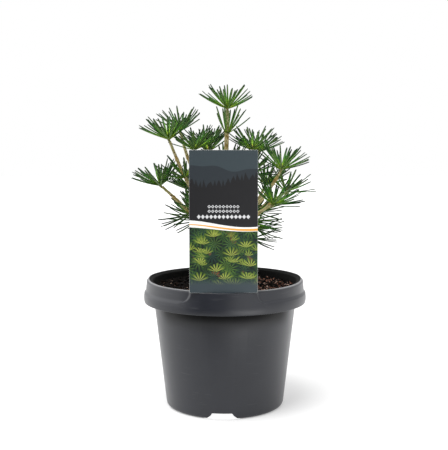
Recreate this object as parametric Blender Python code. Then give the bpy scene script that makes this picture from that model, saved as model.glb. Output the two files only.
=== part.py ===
"""A young umbrella pine in its nursery pot.

A straight leader carries whorls of flat needles and a ring of upswept boughs, each ending in a whorl
of its own. It grows in a moulded pot with a skirted rim, filled with bark compost, and a picture label
stands in a slot in the rim. Lengths are in metres and +Z is up. The origin is the middle of the pot's
underside, and the label stands at the front, towards -Y.
"""

import math
from dataclasses import dataclass

import bmesh
import bpy
import numpy as np

MM = 0.001
GAP = 0.3 * MM

# Pot: a three-litre container, 190 mm over its skirt
POT_HEIGHT = 148 * MM
FOOT_RADIUS = 68.7 * MM
WALL_LEAN = 0.116
WALL = 1.6 * MM
FLOOR = 2.0 * MM
FOOT_ROUND = 4.5 * MM
RIM_RADIUS = 91.2 * MM
SKIRT_RADIUS = 95.0 * MM
SKIRT_FOOT = 122.0 * MM
SKIRT_WIDEST = 125.0 * MM
STEP_LEVEL = 134.4 * MM
STEP_DEPTH = 1.2 * MM
POT_STEPS = 56

# Drainage: channels pressed up into the floor, each with its holes
CHANNEL_BEARINGS = (270, 30, 150)
CHANNEL_TOP = 21 * MM
CHANNEL_FOOT = 33.2 * MM
CHANNEL_HEIGHT = 6.5 * MM
CHANNEL_START = 36 * MM
HOLE_RADIUS = 4 * MM
HOLE_REACH = 46 * MM

# Soil
SOIL_LEVEL = 139.5 * MM
SOIL_RIPPLE = 1.1 * MM

# Label: a plain card on a tongue that stands in the rim's slot
LABEL_WIDTH = 73 * MM
LABEL_THICK = 0.8 * MM
LABEL_FOOT = 146.7 * MM
LABEL_TOP = 299.4 * MM
LABEL_MIDDLE_X = -1.6 * MM
LABEL_FRONT_Y = -89.3 * MM
TONGUE_WIDTH = 24 * MM
TONGUE_FOOT = 127 * MM
SEAT_LEVEL = LABEL_FOOT - GAP
SEAT_BLOCK = 52 * MM
SEAT_BACK = -80 * MM
PANEL_HALF_WIDTH = 36.5 * MM
PANEL_FILLET = 9 * MM

# Leader: (height, radius) from the flare at the soil to the tip, which leans a little to +X
LEADER = (
    (SOIL_LEVEL + GAP, 9.0 * MM),
    (143 * MM, 7.0 * MM),
    (150 * MM, 5.6 * MM),
    (180 * MM, 5.0 * MM),
    (225 * MM, 4.2 * MM),
    (265 * MM, 3.2 * MM),
    (300 * MM, 2.3 * MM),
    (342.6 * MM, 1.9 * MM),
)
LEADER_LEAN = 2.8 * MM
LEADER_TIP = 346 * MM
FLARE_LOBES = 3
FLARE_DEPTH = 0.16

# Boughs: name, bearing and reach of the tip, heights of fork and tip, rise at fork and at tip
BOUGHS = (
    ("left_high_front", 201, 70, 196, 311, 48, 68),
    ("left_high_back", 158, 59, 223, 321, 42, 77),
    ("left_low", 186, 77, 186, 258, 43, 42),
    ("left_inner", 184, 37, 237, 299, 48, 74),
    ("left_middle_back", 143, 50, 201, 250, 36, 58),
    ("left_foot", 146, 44, 172, 214, 34, 52),
    ("back_inner", 122, 40, 242, 297, 46, 72),
    ("back_high", 84, 60, 206, 268, 38, 68),
    ("back_left", 113, 66, 216, 301, 42, 74),
    ("back_right", 50, 60, 222, 296, 42, 74),
    ("back_low", 95, 64, 184, 240, 34, 60),
    ("back_foot", 72, 50, 165, 208, 32, 55),
    ("right_inner", 346, 30, 232, 299, 46, 84),
    ("right_high", 340, 66, 203, 277, 36, 62),
    ("right_middle_back", 36, 58, 198, 257, 34, 62),
    ("right_middle", 3, 70, 216, 250, 18, 36),
    ("right_low", 324, 65, 190, 238, 36, 24),
    ("right_low_back", 30, 42, 184, 225, 34, 50),
    ("right_foot", 7, 33.5, 172, 207, 34, 48),
    ("right_foot_back", 44, 43, 158, 192, 30, 44),
    ("front_inner", 258, 37, 214, 268, 44, 70),
    ("front_low", 283, 42, 174, 222, 34, 56),
    ("front_left", 236, 46, 180, 232, 34, 58),
)
BOUGH_FOOT_RADIUS = 2.5 * MM
BOUGH_TIP_RADIUS = 1.35 * MM
BOUGH_RINGS = 7
BOUGH_SIDES = 6
HANDLE = 0.36
UPTURN = 0.65

# Whorls: a limb's name, the share of the limb where the whorl sits, needles, inner and outer tilt
TIP_WHORL = (18, 41, 71)
SPECIAL_TIPS = {
    "left_foot": (13, 52, 112),
    "right_low_back": (13, 50, 108),
    "right_foot": (12, 54, 108),
    "right_foot_back": (13, 52, 112),
    "back_foot": (14, 50, 108),
    "right_middle_back": (13, 36, 78),
    "right_middle": (14, 38, 84),
}
SIDE_WHORLS = (
    ("leader", "node", 319 * MM, 11, 26, 66, (-12, 250)),
    ("leader", "low", 278 * MM, 13, 34, 68),
    ("left_high_front", "side", 0.68, 13, 40, 78),
    ("left_low", "side", 0.56, 16, 34, 88),
    ("right_inner", "side", 0.66, 16, 34, 82),
    ("right_low", "side", 0.58, 16, 34, 82),
)
NEEDLE_LENGTH = 34.5 * MM
NEEDLE_RADIUS = 1.45 * MM
NEEDLE_THICK = 1.5 * MM
NEEDLE_LIFT = 0.16
LENGTH_SPREAD = 0.05
TILT_SPREAD = 3.0
INNER_LENGTH = 0.93
GOLDEN_SHARE = 0.381966
STEM_RADIUS = 2.1 * MM
STEM_FOOT = 3.0 * MM
STEM_TIP = 4.5 * MM
COLLAR_WALL = 1.9 * MM
COLLAR_HEIGHT = 4.4 * MM
COLLAR_SIDES = 8
CLEARANCE = 0.3 * MM
NEEDLE_SPACE = 42 * MM
TRIES = 7
PLANT_SEED = 19

COLOURS = {
    "pot": ((0.058, 0.060, 0.064), 0.42),
    "soil": ((0.030, 0.019, 0.013), 0.95),
    "label": ((0.045, 0.055, 0.062), 0.35),
    "leader": ((0.330, 0.235, 0.115), 0.75),
    "bough": ((0.380, 0.290, 0.160), 0.72),
    "needles": ((0.055, 0.150, 0.035), 0.45),
}

UP = np.array([0.0, 0.0, 1.0])


def clear_scene():
    """Removes whatever the startup file holds."""
    for item in list(bpy.data.objects):
        bpy.data.objects.remove(item, do_unlink=True)


def material(name, kind):
    """A Principled material of its own for one part, in the colour and roughness of its kind."""
    colour, roughness = COLOURS[kind]
    made = bpy.data.materials.new(name)
    made.use_nodes = True
    shader = made.node_tree.nodes["Principled BSDF"]
    shader.inputs["Base Color"].default_value = (*colour, 1.0)
    shader.inputs["Roughness"].default_value = roughness
    shader.inputs["Metallic"].default_value = 0.0
    made.diffuse_color = (*colour, 1.0)
    return made


def mesh_from(name, points, faces):
    """A mesh from points and faces, with its normals turned outwards."""
    mesh = bpy.data.meshes.new(name)
    mesh.from_pydata([tuple(p) for p in points], [], [tuple(f) for f in faces])
    work = bmesh.new()
    work.from_mesh(mesh)
    bmesh.ops.recalc_face_normals(work, faces=work.faces)
    work.to_mesh(mesh)
    work.free()
    return mesh


def add_part(name, mesh, kind, smooth_angle=40):
    """A visible object with its own material, smooth where its faces meet gently."""
    part = bpy.data.objects.new(name, mesh)
    bpy.context.scene.collection.objects.link(part)
    mesh.materials.append(material(name, kind))
    mesh.shade_smooth()
    mesh.set_sharp_from_angle(angle=math.radians(smooth_angle))
    return part


def add_helper(name, mesh):
    """A hidden object that only shapes another one."""
    helper = bpy.data.objects.new(name, mesh)
    bpy.context.scene.collection.objects.link(helper)
    helper.hide_render = True
    helper.display_type = "WIRE"
    return helper


def add_boolean(part, helper, operation):
    """A live Boolean on part, with the exact solver."""
    modifier = part.modifiers.new(f"{operation.lower()} {helper.name}", "BOOLEAN")
    modifier.operation = operation
    modifier.solver = "EXACT"
    modifier.object = helper


def bake_modifiers(part):
    """Replaces a part's mesh by the one that its modifiers make."""
    bpy.context.view_layer.update()
    graph = bpy.context.evaluated_depsgraph_get()
    baked = bpy.data.meshes.new_from_object(part.evaluated_get(graph))
    part.modifiers.clear()
    part.data = baked


def box_mesh(name, low, high):
    """A box between two corners."""
    points = [(x, y, z) for x in (low[0], high[0]) for y in (low[1], high[1]) for z in (low[2], high[2])]
    faces = [(0, 1, 3, 2), (4, 6, 7, 5), (0, 4, 5, 1), (2, 3, 7, 6), (0, 2, 6, 4), (1, 5, 7, 3)]
    return mesh_from(name, points, faces)


def loft_mesh(name, rings):
    """A closed solid through rings of equal size, an array (rings, sides, 3), with flat ends."""
    rings = np.asarray(rings)
    count, sides = rings.shape[:2]
    faces = []
    for row in range(count - 1):
        for i in range(sides):
            j = (i + 1) % sides
            faces.append((row * sides + i, row * sides + j, (row + 1) * sides + j, (row + 1) * sides + i))
    faces.append(tuple(range(sides)))
    faces.append(tuple(range((count - 1) * sides, count * sides)))
    return mesh_from(name, rings.reshape(-1, 3), faces)


def turned_part(name, profile, kind):
    """A part turned round Z from (radius, height) points that run down its outer side."""
    mesh = bpy.data.meshes.new(name)
    points = [(radius, 0.0, height) for radius, height in profile]
    mesh.from_pydata(points, [(i, i + 1) for i in range(len(points) - 1)], [])
    part = bpy.data.objects.new(name, mesh)
    bpy.context.scene.collection.objects.link(part)
    mesh.materials.append(material(name, kind))
    screw = part.modifiers.new("turn", "SCREW")
    screw.steps = POT_STEPS
    screw.render_steps = POT_STEPS
    screw.use_merge_vertices = True
    screw.merge_threshold = 0.00001
    return part


def turned_helper(name, profile):
    """A turned solid that is hidden and only shapes another part."""
    helper = turned_part(name, profile, "pot")
    helper.hide_render = True
    helper.display_type = "WIRE"
    return helper


def arc(centre, radius, start, end, steps):
    """Points on an arc in the (radius, height) plane, with angles in degrees."""
    angles = np.radians(np.linspace(start, end, steps + 1))
    return [(centre[0] + radius * math.cos(a), centre[1] + radius * math.sin(a)) for a in angles]


def wall_radius(height):
    """Outer radius of the pot's leaning wall at a height."""
    return FOOT_RADIUS + WALL_LEAN * height


def cavity_profile(top, inset):
    """The pot's inside from the middle of its floor up to top, drawn in by inset."""
    corner = 3 * MM
    floor = FLOOR + inset
    turn = (wall_radius(floor + corner) - WALL - inset - corner, floor + corner)
    wall_top = (wall_radius(top) - WALL - inset, top)
    return [(0.0, floor), *arc(turn, corner, -90, 0, 2), wall_top]


def skirt_radius(height):
    """Outer radius of the skirt's lower band, carried on up to the rim."""
    share = (height - SKIRT_WIDEST) / (POT_HEIGHT - SKIRT_WIDEST)
    return SKIRT_RADIUS + (RIM_RADIUS + STEP_DEPTH - SKIRT_RADIUS) * share


def pot_profile():
    """One line from the middle of the floor, up inside, over the rim, down the skirt, under it,
    down the wall and in to the middle of the underside."""
    lip = 1.4 * MM
    lip_in = wall_radius(POT_HEIGHT) - WALL + lip
    line = cavity_profile(POT_HEIGHT - lip, 0.0)
    line += arc((lip_in, POT_HEIGHT - lip), lip, 180, 90, 2)[1:]
    line += arc((RIM_RADIUS - lip, POT_HEIGHT - lip), lip, 90, 15, 2)
    line.append((skirt_radius(STEP_LEVEL) - STEP_DEPTH, STEP_LEVEL + 0.4 * MM))
    line.append((skirt_radius(STEP_LEVEL), STEP_LEVEL - 0.4 * MM))
    line.append((SKIRT_RADIUS, SKIRT_WIDEST))
    line.append((SKIRT_RADIUS - 0.4 * MM, SKIRT_FOOT))
    line.append((SKIRT_RADIUS - WALL, SKIRT_FOOT))
    line.append((skirt_radius(STEP_LEVEL) - WALL, STEP_LEVEL - 1.5 * MM))
    line.append((skirt_radius(STEP_LEVEL) - WALL - STEP_DEPTH, STEP_LEVEL - 0.7 * MM))
    line.append((RIM_RADIUS - WALL, POT_HEIGHT - WALL))
    line.append((wall_radius(POT_HEIGHT) + 0.9 * MM, POT_HEIGHT - WALL))
    line.append((wall_radius(POT_HEIGHT - 2.5 * MM), POT_HEIGHT - 2.5 * MM))
    turn = (wall_radius(FOOT_ROUND) - FOOT_ROUND, FOOT_ROUND)
    line += arc(turn, FOOT_ROUND, 0, -90, 3)
    line.append((0.0, 0.0))
    return line


def turn_about_z(points, bearing):
    """Points turned so that +X points along a bearing in degrees."""
    c, s = math.cos(math.radians(bearing)), math.sin(math.radians(bearing))
    return np.asarray(points) @ np.array([[c, s, 0], [-s, c, 0], [0, 0, 1]])


def channel_mesh(name, bearing, grow, end):
    """A channel's tunnel along a bearing, grown on its top and sides: a flat roof whose sides round
    out to wide feet. Where nothing is grown it is a cutter, and runs on below the floor."""
    top, foot = CHANNEL_TOP / 2 + grow, CHANNEL_FOOT / 2 + grow
    taller = 1 + grow / CHANNEL_HEIGHT
    side = [(foot + 2.4 * MM, -2 * MM) if grow == 0 else (foot, 0.3 * MM)]
    side.append((foot, 0.55 * MM))
    side.append((foot - 3 * MM, 2.1 * MM * taller))
    side.append((top + 0.9 * MM, 4.9 * MM * taller))
    side.append((top, CHANNEL_HEIGHT * taller))
    section = [(-y, z) for y, z in side] + side[::-1]
    rings = [[(x, y, z) for y, z in section] for x in (CHANNEL_START - grow, end)]
    return loft_mesh(name, [turn_about_z(ring, bearing) for ring in rings])


def cut_drainage(pot):
    """Presses the channels up into the pot's floor and pierces the floor over them."""
    skin = WALL / 2
    turn = (wall_radius(FOOT_ROUND) - FOOT_ROUND, FOOT_ROUND)
    foot = [(0.0, 14 * MM), (wall_radius(14 * MM) - skin, 14 * MM)]
    inside = turned_helper("inside_foot", [*foot, *arc(turn, FOOT_ROUND - skin, 0, -90, 3), (0.0, skin)])
    for index, bearing in enumerate(CHANNEL_BEARINGS):
        roof = add_helper(f"channel_roof_{index}", channel_mesh("roof", bearing, WALL, FOOT_RADIUS + MM))
        add_boolean(roof, inside, "INTERSECT")
        add_boolean(pot, roof, "UNION")
    for index, bearing in enumerate(CHANNEL_BEARINGS):
        cut = add_helper(f"channel_cut_{index}", channel_mesh("cut", bearing, 0, SKIRT_RADIUS))
        add_boolean(pot, cut, "DIFFERENCE")
        angles = np.radians(np.arange(0, 360, 45))
        for side in (-1, 1):
            centre = np.array([HOLE_REACH, side * 5 * MM, 0])
            disc = [centre + HOLE_RADIUS * np.array([math.cos(a), math.sin(a), 0]) for a in angles]
            levels = (CHANNEL_HEIGHT - MM, CHANNEL_HEIGHT + 3 * WALL)
            rings = [turn_about_z(np.array(disc) + level * UP, bearing) for level in levels]
            hole = add_helper(f"drain_{index}_{(side + 1) // 2}", loft_mesh("drain", rings))
            add_boolean(pot, hole, "DIFFERENCE")


def label_zone_mesh():
    """The flush panel on the rim's front: a curved block whose sides flare into the step with a
    fillet, so its half-width is the panel's plus the fillet's share at that height."""
    rows, columns = 7, 13
    heights = np.linspace(STEP_LEVEL - 0.3 * MM, POT_HEIGHT - 1.2 * MM, rows)
    above = np.clip(heights - heights[0], 0, PANEL_FILLET)
    reach = PANEL_FILLET - np.sqrt(PANEL_FILLET**2 - (PANEL_FILLET - above) ** 2)
    half = (PANEL_HALF_WIDTH + reach) / skirt_radius(heights)
    spread = np.linspace(-1, 1, columns)
    angles = -math.pi / 2 + half[:, None] * spread[None, :]
    rings = []
    for row, height in enumerate(heights):
        outer = skirt_radius(height)
        inner = outer - STEP_DEPTH - 0.7 * WALL
        front = [(outer * math.cos(a), outer * math.sin(a), height) for a in angles[row]]
        back = [(inner * math.cos(a), inner * math.sin(a), height) for a in angles[row][::-1]]
        rings.append(front + back)
    return loft_mesh("label_zone", rings)


def rim_space():
    """A hidden ring that fills the space under the rim and reaches into the wall and the skirt."""
    foot, top = 137 * MM, POT_HEIGHT - 0.7 * MM
    profile = [(wall_radius(top) - WALL / 2, top), (RIM_RADIUS - 0.7 * MM, top)]
    profile.append((skirt_radius(foot) - STEP_DEPTH - 0.6 * MM, foot))
    profile.append((wall_radius(foot) - WALL / 2, foot))
    return turned_helper("rim_space", [*profile, profile[0]])


def cut_label_seat(pot):
    """Gives the rim its flush panel, a block under it, the label's level seat and the tongue's slot."""
    add_boolean(pot, add_helper("label_zone", label_zone_mesh()), "UNION")
    block = box_mesh("block", (-SEAT_BLOCK / 2, -0.1, SKIRT_FOOT), (SEAT_BLOCK / 2, SEAT_BACK, 0.2))
    block = add_helper("seat_block", block)
    add_boolean(block, rim_space(), "INTERSECT")
    add_boolean(pot, block, "UNION")
    middle, back = LABEL_MIDDLE_X, LABEL_FRONT_Y + LABEL_THICK + GAP
    half = LABEL_WIDTH / 2 + 1.5 * MM
    seat = box_mesh("seat", (middle - half, -0.1, SEAT_LEVEL), (middle + half, back, 0.16))
    add_boolean(pot, add_helper("label_seat", seat), "DIFFERENCE")
    half = TONGUE_WIDTH / 2 + GAP
    slot = box_mesh("slot", (middle - half, LABEL_FRONT_Y - GAP, 0.12), (middle + half, back, 0.16))
    add_boolean(pot, add_helper("label_slot", slot), "DIFFERENCE")


def make_pot():
    """The moulded pot with its skirt, drainage and label slot."""
    pot = turned_part("pot", pot_profile(), "pot")
    cut_drainage(pot)
    cut_label_seat(pot)


def make_soil():
    """Bark compost that fills the pot to just below its rim, with a gently rippled top."""
    top_radius = wall_radius(SOIL_LEVEL) - WALL - GAP
    profile = [*reversed(cavity_profile(SOIL_LEVEL, GAP))]
    surface = [(top_radius * share, SOIL_LEVEL) for share in (0.0, 0.14, 0.4, 0.65, 0.86)]
    soil = turned_part("soil", surface + profile, "soil")
    bake_modifiers(soil)
    soil.data.shade_smooth()
    co = np.empty(len(soil.data.vertices) * 3)
    soil.data.vertices.foreach_get("co", co)
    co = co.reshape(-1, 3)
    radius = np.hypot(co[:, 0], co[:, 1])
    inner = (co[:, 2] > SOIL_LEVEL - 0.1 * MM) & (radius < 0.95 * top_radius) & (radius > 0.2 * top_radius)
    angle = np.arctan2(co[:, 1], co[:, 0])
    wave = np.sin(5 * angle + 90 * radius) + np.cos(8 * angle - 140 * radius)
    co[inner, 2] += 0.5 * SOIL_RIPPLE * wave[inner]
    soil.data.vertices.foreach_set("co", co.ravel())
    for index, bearing in enumerate(CHANNEL_BEARINGS):
        end = wall_radius(CHANNEL_HEIGHT)
        mould = channel_mesh("mould", bearing, WALL + GAP, end)
        add_boolean(soil, add_helper(f"channel_mould_{index}", mould), "DIFFERENCE")


def make_label():
    """A plain card with square shoulders, on a tongue that goes down through the rim's slot."""
    half, tongue = LABEL_WIDTH / 2, TONGUE_WIDTH / 2
    side = [(half, LABEL_TOP), (half, LABEL_FOOT), (tongue, LABEL_FOOT), (tongue, TONGUE_FOOT + 4 * MM)]
    side.append((tongue - 4 * MM, TONGUE_FOOT))
    outline = [(-x, z) for x, z in side[::-1]] + side
    rings = [
        [(LABEL_MIDDLE_X + x, y, z) for x, z in outline]
        for y in (LABEL_FRONT_Y, LABEL_FRONT_Y + LABEL_THICK)
    ]
    add_part("plant_label", loft_mesh("plant_label", rings), "label", smooth_angle=20)


def leader_centre(height):
    """The leader's axis at a height: it leans to +X by the square of its share of the way up."""
    share = (np.asarray(height) - SOIL_LEVEL) / (LEADER_TIP - SOIL_LEVEL)
    lean = LEADER_LEAN * share * share
    return np.stack([lean, 0.35 * LEADER_LEAN * np.sin(5 * share), np.asarray(height) + 0 * share], -1)


def leader_radius(height):
    """The leader's radius at a height, between its named stations."""
    heights, radii = zip(*LEADER)
    return np.interp(height, heights, radii)


def leader_rings(grow, sides=10):
    """Level rings up the leader; near the soil they swell into the lobes of the root flare."""
    turns = np.arange(sides) * 2 * math.pi / sides
    rings = []
    for height, radius in LEADER:
        flare = FLARE_DEPTH * max(0.0, (150 * MM - height) / (150 * MM - SOIL_LEVEL))
        reach = radius * (1 + flare * np.cos(FLARE_LOBES * turns + 0.6)) + grow
        across = np.stack([reach * np.cos(turns), reach * np.sin(turns), 0 * turns], -1)
        rings.append(leader_centre(height) + across)
    return rings


class Limb:
    """A limb's axis as a cubic curve from the leader to its whorl, with a straight taper.

    The first handle leaves the fork at the rise asked for there and the second comes into the tip at
    the rise asked for at the tip, both a fixed share of the chord long.
    """

    def __init__(self, name, bearing, reach, fork, height, rise, tip_rise):
        self.name = name
        angle = math.radians(bearing)
        out = np.array([math.cos(angle), math.sin(angle), 0.0])
        self.side = np.array([-out[1], out[0], 0.0])
        start = leader_centre(fork * MM)
        self.node = leader_centre(height * MM) * [0, 0, 1] + out * reach * MM + [2 * MM, 0, 0]
        chord = np.linalg.norm(self.node - start)
        leave = out * math.cos(math.radians(rise)) + UP * math.sin(math.radians(rise))
        arrive = out * math.cos(math.radians(tip_rise)) + UP * math.sin(math.radians(tip_rise))
        end = self.node - (STEM_FOOT + GAP) * arrive
        self.handles = np.array([start, start + HANDLE * chord * leave, end - HANDLE * chord * arrive, end])
        self.foot_radius = min(BOUGH_FOOT_RADIUS, 0.62 * leader_radius(fork * MM))

    def point(self, share):
        """The axis: the cubic Bezier blend of the four handles."""
        t = np.asarray(share)[..., None]
        weights = ((1 - t) ** 3, 3 * t * (1 - t) ** 2, 3 * t * t * (1 - t), t**3)
        return sum(weight * handle for weight, handle in zip(weights, self.handles))

    def along(self, share):
        """The axis's direction: the curve's first derivative, made one unit long."""
        t = np.asarray(share)[..., None]
        a, b, c, d = self.handles
        slope = (1 - t) ** 2 * (b - a) + 2 * t * (1 - t) * (c - b) + t * t * (d - c)
        return slope / np.linalg.norm(slope, axis=-1, keepdims=True)

    def radius(self, share):
        return self.foot_radius + (BOUGH_TIP_RADIUS - self.foot_radius) * np.asarray(share)


def tube_rings(centres, directions, side, widths, heights, sides):
    """Rings across a path: centre + width cos(a) side + height sin(a) (direction x side)."""
    turns = np.arange(sides) * 2 * math.pi / sides
    side = np.broadcast_to(side, np.shape(centres))
    other = np.cross(directions, side)
    across = np.asarray(widths)[:, None, None] * np.cos(turns)[None, :, None] * side[:, None, :]
    over = np.asarray(heights)[:, None, None] * np.sin(turns)[None, :, None] * other[:, None, :]
    return np.asarray(centres)[:, None, :] + across + over


def make_limbs(limbs):
    """The leader whole from soil to tip, and each bough, its foot cut to fit round the leader."""
    add_part("leader", loft_mesh("leader", leader_rings(0.0)), "leader")
    clear = add_helper("leader_clearance", loft_mesh("leader_clearance", leader_rings(GAP)))
    shares = np.linspace(0, 1, BOUGH_RINGS)
    for limb in limbs:
        radii = limb.radius(shares)
        rings = tube_rings(limb.point(shares), limb.along(shares), limb.side, radii, radii, BOUGH_SIDES)
        bough = add_part(f"bough_{limb.name}", loft_mesh(limb.name, rings), "bough")
        add_boolean(bough, clear, "DIFFERENCE")


def square_to(direction):
    """Two unit vectors square to a direction, the first one level."""
    level = np.cross(UP, direction)
    if np.linalg.norm(level) < 1e-3:
        level = np.array([0.0, 1.0, 0.0])
    level = level / np.linalg.norm(level)
    return level, np.cross(direction, level)


@dataclass
class Whorl:
    """A ring of needles at a node: where it sits, which way it faces and how its needles spread.

    limb_radius is None at a tip. Round a limb that runs on, it is that limb's radius there, and the
    whorl then grows from a collar. fan is the bearing that the needles are centred on and their arc.
    """

    name: str
    node: np.ndarray
    along: np.ndarray
    axis: np.ndarray
    limb_radius: float | None
    needles: int
    inner: float
    outer: float
    fan: tuple = (90, 360)


def list_whorls(limbs):
    """The leader's whorls, one at each bough's tip, and those part of the way along a bough."""
    by_name = {limb.name: limb for limb in limbs}
    lean = leader_centre(LEADER_TIP) - leader_centre(LEADER_TIP - 20 * MM)
    lean /= np.linalg.norm(lean)
    whorls = [Whorl("leader_top", leader_centre(LEADER_TIP), lean, lean, None, 22, *TIP_WHORL[1:])]
    for limb in limbs:
        along = limb.along(1.0)
        axis = (1 - UPTURN) * along + UPTURN * UP
        spread = SPECIAL_TIPS.get(limb.name, TIP_WHORL)
        whorls.append(Whorl(limb.name, limb.node, along, axis / np.linalg.norm(axis), None, *spread))
    for name, place, where, *spread in SIDE_WHORLS:
        if name == "leader":
            node, along, radius = leader_centre(where), UP, leader_radius(where)
        else:
            limb = by_name[name]
            node, along, radius = limb.point(where), limb.along(where), float(limb.radius(where))
        whorls.append(Whorl(f"{name}_{place}", node, along, along, radius, *spread))
    return whorls


def gaps_between(start, end, starts, ends):
    """Least distances from one segment to many, by clamping both closest points to their ends."""
    d1, d2, r = end - start, ends - starts, start - starts
    a, e = d1 @ d1, np.sum(d2 * d2, 1)
    b, c, f = d2 @ d1, r @ d1, np.sum(d2 * r, 1)
    s = np.clip((b * f - c * e) / np.maximum(a * e - b * b, 1e-18), 0, 1)
    t = np.clip((b * s + f) / e, 0, 1)
    s = np.clip((b * t - c) / a, 0, 1)
    return np.linalg.norm(start + s[:, None] * d1 - starts - t[:, None] * d2, axis=1)


def inside_its_space(root, tip, whorl):
    """Whether a needle stays near its node, behind the label and above the soil and the rim."""
    behind_label = tip[1] > LABEL_FRONT_Y + LABEL_THICK + 2 * MM
    reach = math.hypot(tip[0], tip[1])
    floor = POT_HEIGHT + 2 * MM if reach > 78 * MM else SOIL_LEVEL + 4 * MM
    return behind_label and tip[2] > floor and np.linalg.norm(tip - whorl.node) < NEEDLE_SPACE


def needle_of(whorl, index, rng):
    """One needle's root, tip and side vector, by the golden share of the fan round the node.

    Its tilt grows evenly with its number from the inner to the outer one, and it bends back towards
    the axis by NEEDLE_LIFT over its length, of which root and tip keep the chord.
    """
    share = (index + 0.5) / whorl.needles
    middle, arc_width = whorl.fan
    bearing = middle + arc_width * ((index * GOLDEN_SHARE) % 1 - 0.5)
    spin = math.radians(bearing - 90) + rng.uniform(-0.2, 0.2)
    tilt = whorl.inner + (whorl.outer - whorl.inner) * share + rng.normal(0, TILT_SPREAD)
    tilt = math.radians(tilt) - NEEDLE_LIFT / 2
    length = NEEDLE_LENGTH * (INNER_LENGTH + (1 - INNER_LENGTH) * share)
    length *= 1 + rng.normal(0, LENGTH_SPREAD)
    level, other = square_to(whorl.axis)
    out = math.cos(spin) * level + math.sin(spin) * other
    root_reach = 0.5 * MM
    if whorl.limb_radius is not None:
        root_reach = (whorl.limb_radius + GAP) / math.cos(math.pi / COLLAR_SIDES) + 0.55 * COLLAR_WALL
    rise = 1.6 * MM * (0.5 - share)
    root = whorl.node + root_reach * out + rise * whorl.axis
    tip = root + length * (math.sin(tilt) * out + math.cos(tilt) * whorl.axis)
    return root, tip, np.cross(whorl.axis, out)


def grow_needles(limbs, whorls):
    """Every whorl's needles. One that would touch a limb or another whorl's needle, or leave its
    space, is turned and tried again, and in the end skipped."""
    shares = np.linspace(0, 1, 13)
    starts, ends, widths, owners = [], [], [], []
    for limb in limbs:
        points = limb.point(shares)
        starts += list(points[:-1])
        ends += list(points[1:])
        widths += list(limb.radius(shares[:-1]))
        owners += [limb.name] * (len(points) - 1)
    leader = leader_centre(np.linspace(SOIL_LEVEL, LEADER_TIP, 25))
    starts += list(leader[:-1])
    ends += list(leader[1:])
    widths += list(leader_radius(leader[:-1, 2]))
    owners += ["leader"] * (len(leader) - 1)
    for whorl in whorls:
        starts.append(whorl.node - STEM_FOOT * whorl.along)
        ends.append(whorl.node + STEM_TIP * whorl.axis)
        widths.append(STEM_RADIUS if whorl.limb_radius is None else whorl.limb_radius + GAP + COLLAR_WALL)
        owners.append(whorl.name)
    grown = {}
    for number, whorl in enumerate(whorls):
        rng = np.random.default_rng(PLANT_SEED + number)
        kept = []
        others = np.array([owner != whorl.name for owner in owners])
        from_points, to_points = np.array(starts)[others], np.array(ends)[others]
        room = np.array(widths)[others] + NEEDLE_RADIUS + CLEARANCE
        for index in range(whorl.needles):
            for _ in range(TRIES):
                root, tip, side = needle_of(whorl, index, rng)
                if not inside_its_space(root, tip, whorl):
                    continue
                free_from = root + 0.16 * (tip - root)
                if (gaps_between(free_from, tip, from_points, to_points) > room).all():
                    kept.append((root, tip, side))
                    break
        for root, tip, _ in kept:
            starts.append(root)
            ends.append(tip)
            widths.append(NEEDLE_RADIUS)
            owners.append(whorl.name)
        grown[whorl.name] = kept
    return grown


def needle_mesh(root, tip, side):
    """A three-sided needle with blunt ends, a little narrower at its root and at its tip."""
    direction = (tip - root) / np.linalg.norm(tip - root)
    directions = np.array([direction, direction])
    widths = np.array([0.8, 1.0]) * NEEDLE_RADIUS
    heights = np.array([0.8, 1.0]) * NEEDLE_THICK / math.sqrt(3)
    return loft_mesh("needle", tube_rings([root, tip], directions, side, widths, heights, 3))


def stem_mesh(whorl):
    """The short stem of a whorl at a tip: it starts clear of the bough, swells where the needles
    leave it and turns up into a bud."""
    side = square_to(whorl.along)[0]
    places = [-STEM_FOOT, -0.5 * STEM_FOOT, 0.0]
    centres = [whorl.node + place * whorl.along for place in places]
    centres.append(whorl.node + STEM_TIP * whorl.axis)
    directions = [whorl.along, whorl.along, whorl.axis, whorl.axis]
    radii = [BOUGH_TIP_RADIUS, STEM_RADIUS, STEM_RADIUS, 0.45 * STEM_RADIUS]
    return loft_mesh("stem", tube_rings(centres, np.array(directions), side, radii, radii, 6))


def collar_mesh(whorl):
    """The collar of a whorl round a limb that runs on: a ring of even wall, clear of the limb."""
    level, other = square_to(whorl.along)
    turns = np.arange(COLLAR_SIDES) * 2 * math.pi / COLLAR_SIDES
    inner = (whorl.limb_radius + GAP + 0.15 * MM) / math.cos(math.pi / COLLAR_SIDES)
    corners = ((inner, -0.5), (inner + COLLAR_WALL, -0.3), (inner + COLLAR_WALL, 0.3), (inner, 0.5))
    points, faces = [], []
    for number, turn in enumerate(turns):
        out = math.cos(turn) * level + math.sin(turn) * other
        points += [whorl.node + reach * out + rise * COLLAR_HEIGHT * whorl.along for reach, rise in corners]
        here, after = 4 * number, 4 * ((number + 1) % COLLAR_SIDES)
        faces += [(here + k, here + (k + 1) % 4, after + (k + 1) % 4, after + k) for k in range(4)]
    return mesh_from("collar", points, faces)


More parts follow.
